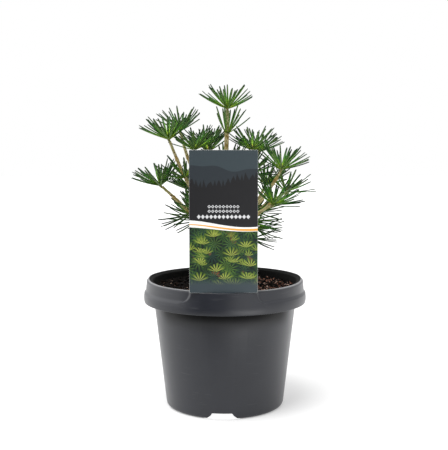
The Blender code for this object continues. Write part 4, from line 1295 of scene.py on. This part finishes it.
def bough_rings(number, limb):
    """One bough's rings, with its foot, knuckles, scars and bark. Also each ring's share of the way
    and its distance along the limb."""
    shares = np.linspace(0, 1, BOUGH_ROWS)
    centres, directions = limb.point(shares), limb.along(shares)
    steps = np.linalg.norm(np.diff(centres, axis=0), axis=1)
    run = np.concatenate([[0], np.cumsum(steps)])
    base = limb.radius(shares)[:, None] + np.zeros(BOUGH_COLUMNS)
    turns = round_angles(BOUGH_COLUMNS)
    knuckles = np.interp(KNUCKLES.get(limb.name, USUAL_KNUCKLES), shares, run)
    leader_out = leader_radius(limb.handles[0][2])
    foot = np.exp(-((np.maximum(run - leader_out, 0)) / (2.6 * MM)) ** 2)
    old = smooth_step(shares, 0.95, 0.2)[:, None]
    plain = across_path(centres, directions, limb.side, base, base, BOUGH_COLUMNS)
    grown = base + BOUGH_BARK + bark(plain, 0.2 + 0.6 * old) + 0.5 * MM * foot[:, None]
    grown = grown + 0.55 * MM * swelling(run, knuckles, 1.7 * MM)[:, None]
    grown = grown + 0.2 * MM * scars(run, turns, np.arange(0.35 * run[-1], run[-1], 3.1 * MM), number)
    return across_path(centres, directions, limb.side, grown, grown, BOUGH_COLUMNS), shares, run


all_rings, all_shares, all_runs = zip(*[bough_rings(number, limb) for number, limb in enumerate(limbs)])
boughs = tube_mesh("boughs", all_rings)
print(f"{len(all_rings)} boughs of {BOUGH_ROWS} rings")

# %% [markdown]
# ### Bark
#
# Young umbrella pine wood goes from olive green at the tip to a warm, greyish tan, with golden brown at
# the knuckles and darker streaks along it. Where a colour belongs to a place on the limb, the mesh
# carries it: one number for each point says how young the wood is, one how golden, and three more give
# its place on the limb as if that were straight, so that the grain runs along every bend. The finish
# only reads them.

# %% Marks on the limbs
def mark(mesh, name, values):
    """Stores one number, or three, for each point of a mesh."""
    values = np.asarray(values, np.float32)
    kind = "FLOAT" if values.ndim == 1 else "FLOAT_VECTOR"
    layer = mesh.attributes.new(name, kind, "POINT")
    layer.data.foreach_set("value" if kind == "FLOAT" else "vector", values.ravel())


def grain_marks(columns, runs, radii):
    """Each point's place on the straightened limb: (radius cos a, radius sin a, distance along)."""
    turns = round_angles(columns)
    radii = np.broadcast_to(np.asarray(radii)[..., None], (*runs.shape, columns))
    rings = np.stack([radii * np.cos(turns), radii * np.sin(turns), runs[..., None] + 0 * radii], -1)
    return tube_points(rings, rings[:, 0].mean(1), rings[:, -1].mean(1))


def ring_marks(values, columns):
    """One number for each ring, spread to the points of its tube."""
    rings = np.repeat(np.asarray(values)[:, :, None], columns, 2)
    flat = rings.reshape(len(rings), -1)
    return np.concatenate([flat, flat[:, :1], flat[:, -1:]], 1).ravel()


# %% The bark's finish
def bark_finish(name, old_tone, young_tone):
    """Bark that reads the marks: grain streaks, golden knuckles and green young wood."""
    finish = Finish(name, old_tone, 0.78, specular=0.3)
    grain = finish.node("ShaderNodeAttribute", {"attribute_name": "grain"}, output="Vector")
    young = finish.node("ShaderNodeAttribute", {"attribute_name": "young"}, output="Fac")
    golden = finish.node("ShaderNodeAttribute", {"attribute_name": "golden"}, output="Fac")
    streaks = finish.noise(finish.stretched(grain, (1, 1, 0.18)), 900, detail=3, rough=0.6)
    patches = finish.noise(grain, 230, detail=2)
    tone = finish.blend(young, old_tone, young_tone)
    tone = finish.blend(golden, tone, paint(180, 148, 74))
    tone = finish.blend(finish.rise(streaks, 0.58, 0.34) * 0.65, tone, paint(98, 82, 44))
    tone = finish.blend(finish.rise(patches, 0.45, 0.7) * 0.6, tone, paint(210, 202, 166))
    finish.wear(colour=tone, roughness=0.62 + 0.3 * streaks)
    finish.wear(normal=finish.relief(streaks, 0.12 * MM, 0.7))
    return finish


# %% The leader as a piece
heights = leader_heights[None]
leader = leader_mesh(leader_heights, [row[3] * MM for row in BOUGHS])
mark(leader, "grain", grain_marks(LEADER_COLUMNS, heights, leader_radius(heights)))
mark(leader, "young", ring_marks(smooth_step(heights, 312 * MM, 326 * MM), LEADER_COLUMNS))
golden = smooth_step(heights, 240 * MM, 290 * MM) * smooth_step(heights, 320 * MM, 314 * MM)
mark(leader, "golden", ring_marks(0.55 * golden, LEADER_COLUMNS))
leader_finish = bark_finish("leader bark", paint(168, 152, 96), paint(142, 154, 96))
add_piece("leader_bark", leader, [leader_finish], ["leader"])

# %% The boughs as a piece
runs = np.array(all_runs)
shares = np.array(all_shares)
radii = np.array([limb.radius(share) for limb, share in zip(limbs, shares)])
knuckles = [KNUCKLES.get(limb.name, USUAL_KNUCKLES) for limb in limbs]
golden = [swelling(share, places, 0.05) for share, places in zip(shares, knuckles)]
mark(boughs, "grain", grain_marks(BOUGH_COLUMNS, runs, radii))
mark(boughs, "young", ring_marks(0.7 * smooth_step(shares, 0.86, 1.0), BOUGH_COLUMNS))
mark(boughs, "golden", ring_marks(np.clip(golden, 0, 1) * 0.85, BOUGH_COLUMNS))
bough_finish = bark_finish("bough bark", paint(192, 178, 124), paint(150, 160, 98))
bough_nodes = [f"bough_{limb.name}" for limb in limbs]
add_piece("bough_bark", boughs, [bough_finish], bough_nodes)

# %% [markdown]
# ## Whorls of needles
#
# This is the plant's signature. At each node some thirty flat needles stand out like umbrella ribs: the
# first ones steep, the last ones level or drooping. They follow the golden angle round the node, so
# that however many there are, no two lie over each other.
#
# The rule and its random numbers are the ones the solids were grown by, so each of their needles is
# here again at its own place. Then more needles fill the gaps by the same rule, from a generator of
# their own.

# %% The whorls' table
# A tip whorl's row is its count of needles and the first and last tilt in degrees. A whorl on a limb
# has the limb, its own name and its place first, and may end with a fan: its middle and its arc.
TIP_WHORL = (18, 41, 71)
SPECIAL_TIPS = {
    "left_foot": (13, 52, 112),
    "right_low_back": (13, 50, 108),
    "right_foot": (12, 54, 108),
    "right_foot_back": (13, 52, 112),
    "back_foot": (14, 50, 108),
    "right_middle_back": (13, 36, 78),
    "right_middle": (14, 38, 84),
}
SIDE_WHORLS = (
    ("leader", "node", 319 * MM, 11, 26, 66, (-12, 250)),
    ("leader", "low", 278 * MM, 13, 34, 68),
    ("left_high_front", "side", 0.68, 13, 40, 78),
    ("left_low", "side", 0.56, 16, 34, 88),
    ("right_inner", "side", 0.66, 16, 34, 82),
    ("right_low", "side", 0.58, 16, 34, 82),
)
UPTURN = 0.65
print(f"{1 + len(BOUGHS) + len(SIDE_WHORLS)} whorls to place")

# %% The needles' sizes
NEEDLE_LENGTH = 34.5 * MM
NEEDLE_RADIUS = 1.45 * MM
NEEDLE_LIFT = 0.16
LENGTH_SPREAD = 0.05
TILT_SPREAD = 3.0
SPIN_SPREAD = 0.2
INNER_LENGTH = 0.93
TIP_ROOT_REACH = 0.5 * MM
ROOT_RISE = 1.6 * MM
GOLDEN_SHARE = 0.381966
STEM_RADIUS = 2.1 * MM
STEM_TIP = 4.5 * MM
COLLAR_WALL = 1.9 * MM
COLLAR_SIDES = 8
CLEARANCE = 0.3 * MM
FREE_FROM = 0.16
NEEDLE_SPACE = 42 * MM
NEAR_RIM = 78 * MM
TRIES = 7
PLANT_SEED = 19
print(f"needles about {1000 * NEEDLE_LENGTH:.1f} mm long")


# %% What a whorl is
def square_to(direction):
    """Two unit vectors square to a direction, the first one level."""
    level = np.cross(UP, direction)
    if np.linalg.norm(level) < 1e-3:
        level = np.array([0.0, 1.0, 0.0])
    level = level / np.linalg.norm(level)
    return level, np.cross(direction, level)


@dataclass
class Whorl:
    """Where a whorl sits, which way it faces and how its needles spread. limb_radius is None at a tip,
    and fan is the bearing that the needles are centred on and their arc, in degrees."""

    name: str
    node: np.ndarray
    along: np.ndarray
    axis: np.ndarray
    limb_radius: float | None
    needles: int
    inner: float
    outer: float
    fan: tuple = (90, 360)


# %% The list of whorls
def list_whorls():
    """The leader's top whorl, one at each bough's tip, and those part of the way along a limb."""
    lean = leader_centre(LEADER_TIP) - leader_centre(LEADER_TIP - 20 * MM)
    lean /= np.linalg.norm(lean)
    found = [Whorl("leader_top", leader_centre(LEADER_TIP), lean, lean, None, 22, *TIP_WHORL[1:])]
    for limb in limbs:
        along = limb.along(1.0)
        axis = (1 - UPTURN) * along + UPTURN * UP
        spread = SPECIAL_TIPS.get(limb.name, TIP_WHORL)
        found.append(Whorl(limb.name, limb.node, along, axis / np.linalg.norm(axis), None, *spread))
    for name, where_on, where, *spread in SIDE_WHORLS:
        if name == "leader":
            node, along, radius = leader_centre(where), UP, leader_radius(where)
        else:
            limb = by_name[name]
            node, along, radius = limb.point(where), limb.along(where), float(limb.radius(where))
        found.append(Whorl(f"{name}_{where_on}", node, along, along, radius, *spread))
    return found


whorls = list_whorls()
print(f"{len(whorls)} whorls with {sum(whorl.needles for whorl in whorls)} needles to try")

# %% One needle's place
@dataclass
class Needle:
    """A needle's root, its tip, the way out from the whorl's axis, its tilt, the length of its chord
    and its share of the whorl's count."""

    root: np.ndarray
    tip: np.ndarray
    out: np.ndarray
    tilt: float
    length: float
    share: float


def needle_of(whorl, number, among, rng):
    """A needle by its number: the golden share turns it, its share of the count tilts it, and chance
    moves both a little. Its chord leans half the lift less than its foot."""
    share = min((number + 0.5) / among, 1.0)
    middle, arc_width = whorl.fan
    bearing = middle + arc_width * ((number * GOLDEN_SHARE) % 1 - 0.5)
    spin = math.radians(bearing - 90) + rng.uniform(-SPIN_SPREAD, SPIN_SPREAD)
    tilt = whorl.inner + (whorl.outer - whorl.inner) * share + rng.normal(0, TILT_SPREAD)
    tilt = math.radians(tilt) - NEEDLE_LIFT / 2
    length = NEEDLE_LENGTH * (INNER_LENGTH + (1 - INNER_LENGTH) * share)
    length *= 1 + rng.normal(0, LENGTH_SPREAD)
    level, other = square_to(whorl.axis)
    out = math.cos(spin) * level + math.sin(spin) * other
    root_reach = TIP_ROOT_REACH
    if whorl.limb_radius is not None:
        root_reach = (whorl.limb_radius + GAP) / math.cos(math.pi / COLLAR_SIDES) + 0.55 * COLLAR_WALL
    rise = ROOT_RISE * (0.5 - share)
    root = whorl.node + root_reach * out + rise * whorl.axis
    tip = root + length * (math.sin(tilt) * out + math.cos(tilt) * whorl.axis)
    return Needle(root, tip, out, tilt, length, share)


# %% [markdown]
# ### Room for each needle
#
# Real needles grow past each other, and never through a twig. To test one mesh against all the others
# would be slow, so here a limb is a row of straight segments with a radius, and a needle is one segment.
# Two of them are clear of each other where the least distance between them is more than both radii and
# 0.3 mm. A needle that would touch a limb or another whorl, or leave its space, is tried again a little
# turned, and in the end left out.

# %% Two tests of a needle
def inside_its_space(needle, whorl):
    """Whether a needle stays near its node, behind the label and above the compost and the rim."""
    tip = needle.tip
    behind_label = tip[1] > LABEL_FRONT_Y + LABEL_THICK + 2 * MM
    lowest = POT_HEIGHT + 2 * MM if math.hypot(tip[0], tip[1]) > NEAR_RIM else SOIL_LEVEL + 4 * MM
    return behind_label and tip[2] > lowest and np.linalg.norm(tip - whorl.node) < NEEDLE_SPACE


def gaps_between(start, end, starts, ends):
    """Least distances from one segment to many, by clamping both closest points to their ends."""
    d1, d2, r = end - start, ends - starts, start - starts
    a, e = d1 @ d1, np.sum(d2 * d2, 1)
    b, c, f = d2 @ d1, r @ d1, np.sum(d2 * r, 1)
    s = np.clip((b * f - c * e) / np.maximum(a * e - b * b, 1e-18), 0, 1)
    t = np.clip((b * s + f) / e, 0, 1)
    s = np.clip((b * t - c) / a, 0, 1)
    return np.linalg.norm(start + s[:, None] * d1 - starts - t[:, None] * d2, axis=1)


# %% What is already there
class Crowd:
    """Every limb and needle so far, as segments with a radius and an owner."""

    def __init__(self):
        self.starts, self.ends, self.widths, self.owners = [], [], [], []

    def add(self, starts, ends, widths, owner):
        """Segments from starts to ends, their radii and the name of what they belong to."""
        self.starts += list(starts)
        self.ends += list(ends)
        self.widths += list(widths)
        self.owners += [owner] * len(widths)

    def around(self, owner):
        """What isn't the owner's own: starts, ends and radii."""
        others = np.array([name != owner for name in self.owners])
        return [np.array(part)[others] for part in (self.starts, self.ends, self.widths)]


def limbs_crowd():
    """The leader, the boughs and each whorl's stem or collar."""
    crowd = Crowd()
    shares = np.linspace(0, 1, 13)
    for limb in limbs:
        points = limb.point(shares)
        crowd.add(points[:-1], points[1:], limb.radius(shares[:-1]), limb.name)
    points = leader_centre(np.linspace(SOIL_LEVEL, LEADER_TIP, 25))
    crowd.add(points[:-1], points[1:], leader_radius(points[:-1, 2]), "leader")
    for whorl in whorls:
        wide = STEM_RADIUS if whorl.limb_radius is None else whorl.limb_radius + GAP + COLLAR_WALL
        low, high = whorl.node - STEM_FOOT * whorl.along, whorl.node + STEM_TIP * whorl.axis
        crowd.add([low], [high], [wide], whorl.name)
    return crowd


crowd = limbs_crowd()
print(f"{len(crowd.widths)} segments of wood to keep clear of")


# %% Growing one whorl
def grow(whorl, numbers, rng, crowd, needle_radius):
    """The needles of one whorl with these numbers that find room. They join the crowd."""
    starts, ends, widths = crowd.around(whorl.name)
    room = widths + needle_radius + CLEARANCE
    kept = []
    for number in numbers:
        for _ in range(TRIES):
            needle = needle_of(whorl, number, whorl.needles, rng)
            free_from = needle.root + FREE_FROM * (needle.tip - needle.root)
            gaps = gaps_between(free_from, needle.tip, starts, ends)
            if inside_its_space(needle, whorl) and (gaps > room).all():
                kept.append(needle)
                break
    crowd.add([n.root for n in kept], [n.tip for n in kept], [needle_radius] * len(kept), whorl.name)
    return kept


# %% Growing them all
EXTRA_SEED = 700
CROWN_FOOT = 285 * MM
CROWN_SHARE = 0.7
LOWER_SHARE = 1.2
FAN_SHARE = 0.25
# Whorls that get another number of extra needles, as a share of their own count.
FULLER = {
    "left_high_front": 1.6,
    "left_low": 1.7,
    "left_low_side": 1.7,
    "left_middle_back": 1.9,
    "left_foot": 1.25,
}
SLIM_RADIUS = 1.0 * MM

grown = {}
for number, whorl in enumerate(whorls):
    rng = np.random.default_rng(PLANT_SEED + number)
    grown[whorl.name] = grow(whorl, range(whorl.needles), rng, crowd, NEEDLE_RADIUS)
first_count = sum(len(kept) for kept in grown.values())
for number, whorl in enumerate(whorls):
    usual = FAN_SHARE if whorl.fan[1] < 360 else CROWN_SHARE if whorl.node[2] > CROWN_FOOT else LOWER_SHARE
    share = FULLER.get(whorl.name, usual)
    extra = np.arange(round(share * whorl.needles)) / share + 0.5
    grown[whorl.name] += grow(whorl, extra, np.random.default_rng(EXTRA_SEED + number), crowd, SLIM_RADIUS)
print(f"{first_count} needles as in the solids, {sum(map(len, grown.values()))} in all")

# %% [markdown]
# ### The shape of a needle
#
# An umbrella pine's needle is really two grown together: flat, blunt, and grooved down the middle on
# both sides. Eight points are enough for that section: two edges, four shoulders and the floor of each
# groove. Eight rings carry it along a gentle arc, and a pole closes each end, so a needle has 72 faces
# and all of them together stay light.
#
# Its colour changes along its length, pale where it leaves the node and grey green at the tip. On
# thousands of small faces a pattern would be lost, so each stretch simply takes a finish of its own
# tone, from one of three families: fresh at the top of the plant, and deeper further down and back.
# The families are painted light and shade: the lit needles high and in front take the fresh tones, and
# the shaded ones lower, behind and under each whorl the deep ones.

# %% The needle's form
# Shares of the way along for each ring, and its width as a share of the widest.
NEEDLE_ROWS = np.array([0.0, 0.07, 0.24, 0.44, 0.64, 0.81, 0.93, 0.985])
ROW_WIDTH = np.array([0.55, 0.72, 0.92, 1.0, 1.0, 0.93, 0.80, 0.50])
UPPER_SIDE = [(1.0, 0.0), (0.62, 0.92), (0.0, 0.55), (-0.62, 0.92)]
LOWER_SIDE = [(-1.0, 0.0), (-0.62, -0.8), (0.0, -0.35), (0.62, -0.8)]
SECTION = np.array(UPPER_SIDE + LOWER_SIDE)
HALF_WIDTH = 1.12 * MM
HALF_THICK = 0.55 * MM
COLLAR_SINK = 1.2 * MM
TIP_SINK = 0.4 * MM
LIFT_SPREAD = 0.07
BEND_SPREAD = 0.5 * MM
TWIST_SPREAD = 0.3
MORE_TWIST = 0.2
SIZE_RANGE = (0.9, 1.08)
print(f"{len(NEEDLE_ROWS)} rings of {len(SECTION)} points, up to {2000 * HALF_WIDTH:.1f} mm wide")


# %% Needles as arrays
def needle_rings(needles, axes, limb_radii, rng):
    """Rings of many needles: each centre line is an arc whose direction starts at the tilt and swings
    towards the axis by the lift, and its rings are flat across the way out and slightly twisted."""
    count = len(needles)
    root, out = np.array([n.root for n in needles]), np.array([n.out for n in needles])
    tilt, length = np.array([n.tilt for n in needles]), np.array([n.length for n in needles])
    lift = NEEDLE_LIFT + rng.normal(0, LIFT_SPREAD, count)
    start = tilt + lift / 2
    side = np.cross(axes, out)
    t = NEEDLE_ROWS[None, :, None]
    lift, start, length = lift[:, None, None], start[:, None, None], length[:, None, None]
    angle = start - lift * t
    centre = root[:, None] + length / lift * ((np.cos(angle) - np.cos(start)) * out[:, None]
                                              + (np.sin(start) - np.sin(angle)) * axes[:, None])
    bend = rng.normal(0, BEND_SPREAD, count)[:, None, None]
    centre = centre + bend * t * t * side[:, None]
    ahead = np.sin(angle) * out[:, None] + np.cos(angle) * axes[:, None]
    sunk = np.where(np.isnan(limb_radii), TIP_SINK, COLLAR_SINK)[:, None]
    centre[:, 0] -= sunk * ahead[:, 0]
    over = np.cross(ahead, np.broadcast_to(side[:, None], ahead.shape))
    twist = rng.normal(0, TWIST_SPREAD, count)[:, None, None]
    twist = twist + rng.normal(0, MORE_TWIST, count)[:, None, None] * t
    wide = np.cos(twist) * side[:, None] + np.sin(twist) * over
    thick = np.cos(twist) * over - np.sin(twist) * side[:, None]
    size = rng.uniform(*SIZE_RANGE, count)[:, None] * ROW_WIDTH
    rings = centre[:, :, None] + (HALF_WIDTH * size)[..., None, None] * SECTION[:, :1] * wide[:, :, None] \
        + (HALF_THICK * np.sqrt(size))[..., None, None] * SECTION[:, 1:] * thick[:, :, None]
    last = centre[:, -1] + 0.015 * length[:, 0] * ahead[:, -1]
    return rings, centre[:, 0] - 0.1 * MM * ahead[:, 0], last


# %% Needle finishes
# Each family has one tone for each band along the needle.
# The three families are lit and shaded copies of one green: painted light and shade.
FAMILIES = {
    "fresh": ((164, 186, 56), (122, 164, 44), (86, 134, 40), (56, 98, 36), (46, 72, 40)),
    "mid": ((126, 156, 40), (84, 130, 32), (54, 104, 26), (40, 80, 24), (34, 60, 28)),
    "deep": ((76, 108, 30), (44, 84, 22), (30, 70, 20), (22, 54, 18), (22, 42, 22)),
}
BANDS = ("base", "lower", "middle", "upper", "tip")
# Which band each row of faces is in, and which columns lie beside the lower groove.
ROW_BAND = np.array([0, 0, 1, 2, 3, 4, 4])
GROOVE_COLUMNS = (5, 6)
UNDERSIDE = (134, 158, 104)
UNDERSIDE_SHARE = 0.75

needle_finishes = []
for family, tones in FAMILIES.items():
    for band_name, tone in zip(BANDS, tones):
        leaf = Finish(f"needle {family} {band_name}", paint(*tone), 0.45, specular=0.1)
        waxy = leaf.noise(leaf.place(), 1900, detail=1)
        leaf.wear(roughness=0.38 + 0.14 * waxy, normal=leaf.relief(waxy, 0.06 * MM, 0.5))
        needle_finishes.append(leaf)
    pairs = zip(UNDERSIDE, tones[2])
    shade = [UNDERSIDE_SHARE * pale + (1 - UNDERSIDE_SHARE) * green for pale, green in pairs]
    leaf = Finish(f"needle {family} groove", paint(*shade), 0.55, specular=0.15)
    leaf.wear(roughness=0.5 + 0.1 * leaf.noise(leaf.place(), 1900))
    needle_finishes.append(leaf)
print(f"{len(needle_finishes)} needle finishes")

# %% Which finish each face wears
def needle_materials(families, rows, columns):
    """For each face the number of its finish: its needle's family, then its band along the needle, or
    the groove under it."""
    step = len(BANDS) + 1
    quads = np.broadcast_to(ROW_BAND[:rows - 1, None], (rows - 1, columns)).copy()
    quads[1:-1, list(GROOVE_COLUMNS)] = len(BANDS)
    quads = families[:, None, None] * step + quads
    ends = np.stack([np.zeros(columns, int), np.full(columns, len(BANDS) - 1)])
    ends = families[:, None, None] * step + ends
    return np.concatenate([quads.ravel(), ends.ravel()]).astype(np.int32)


def family_of(whorl, share, rng):
    """0 to 2, fresh to deep, as painted light and shade: higher and further forward is fresher, the
    lowest needles of a whorl are deeper, and chance moves each a little."""
    height = (whorl.node[2] - 200 * MM) / (140 * MM)
    # Painted shade: deeper lower down, further back and on the lowest needles of a whorl.
    depth = 1.6 - 1.1 * height + 0.35 * whorl.node[1] / (60 * MM) + 0.5 * share + rng.normal(0, 0.45)
    return int(np.clip(round(depth), 0, 2))


# %% The needle pieces
MIDDLE_FOOT = 235 * MM
TIERS = (
    ("needles_crown", CROWN_FOOT, 1.0),
    ("needles_middle", MIDDLE_FOOT, CROWN_FOOT),
    ("needles_lower", 0.0, MIDDLE_FOOT),
)
rng = np.random.default_rng(41)
for name, low, high in TIERS:
    members = [whorl for whorl in whorls if low <= whorl.node[2] < high]
    needles = [needle for whorl in members for needle in grown[whorl.name]]
    owners = [whorl for whorl in members for _ in grown[whorl.name]]
    axes = np.array([whorl.axis for whorl in owners])
    limb_radii = np.array([np.nan if whorl.limb_radius is None else whorl.limb_radius for whorl in owners])
    rings, first, last = needle_rings(needles, axes, limb_radii, rng)
    families = np.array([family_of(whorl, needle.share, rng) for whorl, needle in zip(owners, needles)])
    mesh = tube_mesh(name, rings, first, last)
    nodes = [f"needles_{whorl.name}" for whorl in members]
    add_piece(name, mesh, needle_finishes, nodes, sharp=60)
    pick_finishes(mesh, needle_materials(families, *rings.shape[1:3]))
    print(f"{len(needles)} needles in {len(members)} whorls")

# %% [markdown]
# ## Shoot tips, buds and scales
#
# Under each whorl the shoot thickens, and in its middle sits a resting bud, wrapped in brown scales.
# Small scale leaves are also pressed to the stem all along, densest at the knuckles, and go brown and
# papery. They are what gives the stems their rough, jointed look, so each is a real small blade.

# %% Shoot tips and buds
TIP_ROWS = 15
TIP_COLUMNS = 12
# Shares of the way up a shoot's tip, and the radius at each in millimetres.
TIP_STATIONS = (0, 0.3, 0.52, 0.62, 0.8, 0.93, 1.0)
TIP_RADII = (1.3, 1.5, 2.0, 1.55, 1.6, 1.1, 0.35)
BUD_FROM = 0.6


def shoot_rings(whorl):
    """The end of a shoot: a swelling under the needles, then a bud that closes to a point."""
    t = np.linspace(0, 1, TIP_ROWS)
    turn_up = smooth_step(t, 0.25, 0.6)[:, None]
    directions = (1 - turn_up) * whorl.along + turn_up * whorl.axis
    directions /= np.linalg.norm(directions, axis=1, keepdims=True)
    length = STEM_FOOT + GAP + MM + STEM_TIP
    steps = directions * length / (TIP_ROWS - 1)
    centres = np.cumsum(steps, 0) - steps[0]
    at_node = np.interp((STEM_FOOT + GAP + MM) / length, t, np.arange(TIP_ROWS))
    centres += whorl.node - centres[int(round(at_node))]
    radius = np.interp(t, TIP_STATIONS, TIP_RADII)[:, None] * MM + np.zeros(TIP_COLUMNS)
    return across_path(centres, directions, square_to(whorl.along)[0], radius, radius, TIP_COLUMNS)


tips = [whorl for whorl in whorls if whorl.limb_radius is None]
shoots = tube_mesh("shoots", [shoot_rings(whorl) for whorl in tips])
quad_rows = np.broadcast_to(np.arange(TIP_ROWS - 1)[None, :, None], (len(tips), TIP_ROWS - 1, TIP_COLUMNS))
end_rows = np.broadcast_to(np.array([0, TIP_ROWS])[None, :, None], (len(tips), 2, TIP_COLUMNS))
face_rows = np.concatenate([quad_rows.ravel(), end_rows.ravel()])
green_wood = Finish("shoot", paint(132, 130, 82), 0.65, specular=0.3)
bud_brown = Finish("bud", paint(120, 86, 48), 0.6, specular=0.35)
for finish in (green_wood, bud_brown):
    fine = finish.noise(finish.place(), 1400, detail=3)
    finish.wear(roughness=0.5 + 0.25 * fine, normal=finish.relief(fine, 0.15 * MM))
add_piece("shoot_tips", shoots, [green_wood, bud_brown])
pick_finishes(shoots, face_rows > BUD_FROM * TIP_ROWS)

# %% The shape of a scale leaf
# Shares of the way along for each ring, and its width as a share of the widest.
SCALE_ROWS = np.array([0.0, 0.3, 0.65, 0.92])
SCALE_WIDTH = np.array([0.8, 1.0, 0.72, 0.28])
SCALE_COLUMNS = 6
SCALE_FLARE = (0.12, 0.42)


def scale_rings(roots, aheads, outs, lengths, rng):
    """Small blades pressed to a stem: flat ovals that widen and then narrow to a point, leaving the
    stem a little more the further they go."""
    count = len(roots)
    aheads = aheads / np.linalg.norm(aheads, axis=1, keepdims=True)
    sides = np.cross(aheads, outs)
    flare = rng.uniform(*SCALE_FLARE, count)[:, None, None]
    t = SCALE_ROWS[None, :, None]
    centre = roots[:, None] + lengths[:, None, None] * (t * aheads[:, None] + flare * t * t * outs[:, None])
    turns = round_angles(SCALE_COLUMNS)
    wide = 0.26 * lengths[:, None] * SCALE_WIDTH
    thin = 0.09 * MM * np.ones_like(wide) + 0.06 * MM * SCALE_WIDTH
    rings = centre[:, :, None] + (wide[..., None] * np.cos(turns))[..., None] * sides[:, None, None] \
        + (thin[..., None] * np.sin(turns))[..., None] * outs[:, None, None]
    last = centre[:, -1] + 0.1 * lengths[:, None] * aheads
    return rings, centre[:, 0] - 0.2 * MM * aheads, last


# %% Places for scales
def scales_on(point_at, along_at, radius_at, places, first_turn, rng):
    """Roots, directions and outward vectors for scales at places on a limb, a golden turn apart."""
    turns = first_turn + GOLDEN_TURN * np.arange(len(places)) + rng.normal(0, 0.25, len(places))
    centres, ahead = point_at(places), along_at(places)
    level = np.cross(UP, ahead)
    level[np.linalg.norm(level, axis=1) < 1e-3] = [0.0, 1.0, 0.0]
    level /= np.linalg.norm(level, axis=1, keepdims=True)
    other = np.cross(ahead, level)
    out = np.cos(turns)[:, None] * level + np.sin(turns)[:, None] * other
    return centres + (radius_at(places) - 0.1 * MM)[:, None] * out, ahead, out


def straight_up(heights):
    """The leader's direction at each height."""
    return np.broadcast_to(UP, (len(heights), 3))


# %% Scale leaves on every limb
BOUGH_SCALES = np.arange(0.14, 0.97, 0.036)
BOUGH_SCALE_LENGTH = (1.5 * MM, 2.6 * MM)
LEADER_SCALES = np.arange(215 * MM, 342 * MM, 3.2 * MM)
LEADER_SCALE_LENGTH = (1.6 * MM, 2.8 * MM)

rng = np.random.default_rng(57)
scales = []
for number, limb in enumerate(limbs):
    at_knuckles = [rng.normal(knuckle, 0.022, 16) for knuckle in KNUCKLES.get(limb.name, USUAL_KNUCKLES)]
    places = np.concatenate([BOUGH_SCALES, *at_knuckles, rng.uniform(0.93, 1.0, 8)])
    found = scales_on(limb.point, limb.along, limb.radius, np.clip(places, 0, 1), number, rng)
    scales.append((*found, rng.uniform(*BOUGH_SCALE_LENGTH, len(places))))
at_nodes = [rng.normal(node, 1.3 * MM, 12) for node in LEADER_NODES]
places = np.concatenate([LEADER_SCALES, *at_nodes, rng.uniform(338 * MM, 344 * MM, 8)])
found = scales_on(leader_centre, straight_up, leader_radius, places, 0.4, rng)
scales.append((*found, rng.uniform(*LEADER_SCALE_LENGTH, len(places))))
roots, aheads, outs, lengths = [np.concatenate(part) for part in zip(*scales)]
rings, first, last = scale_rings(roots, aheads, outs, lengths, rng)
print(f"{len(rings)} scale leaves")

# %% The scale leaves' finish
papery = Finish("scale", paint(140, 104, 62), 0.7, specular=0.3)
veins = papery.noise(papery.place(), 1800, detail=2)
each = papery.rise(papery.noise(papery.place(), 420, detail=1), 0.35, 0.65)
papery.wear(colour=papery.blend(each, paint(112, 78, 44), paint(192, 164, 112)))
papery.wear(roughness=0.6 + 0.2 * veins, normal=papery.relief(veins, 0.08 * MM))
add_piece("bark_scales", tube_mesh("scales", rings, first, last), [papery], sharp=50)

# %% [markdown]
# ## Sizes, and the end
#
# The dressed plant has to fill the same box as its solids, so its box is printed.

# %% The dressed box
low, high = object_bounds()
print("dressed", [round(1000 * side, 1) for side in high - low])
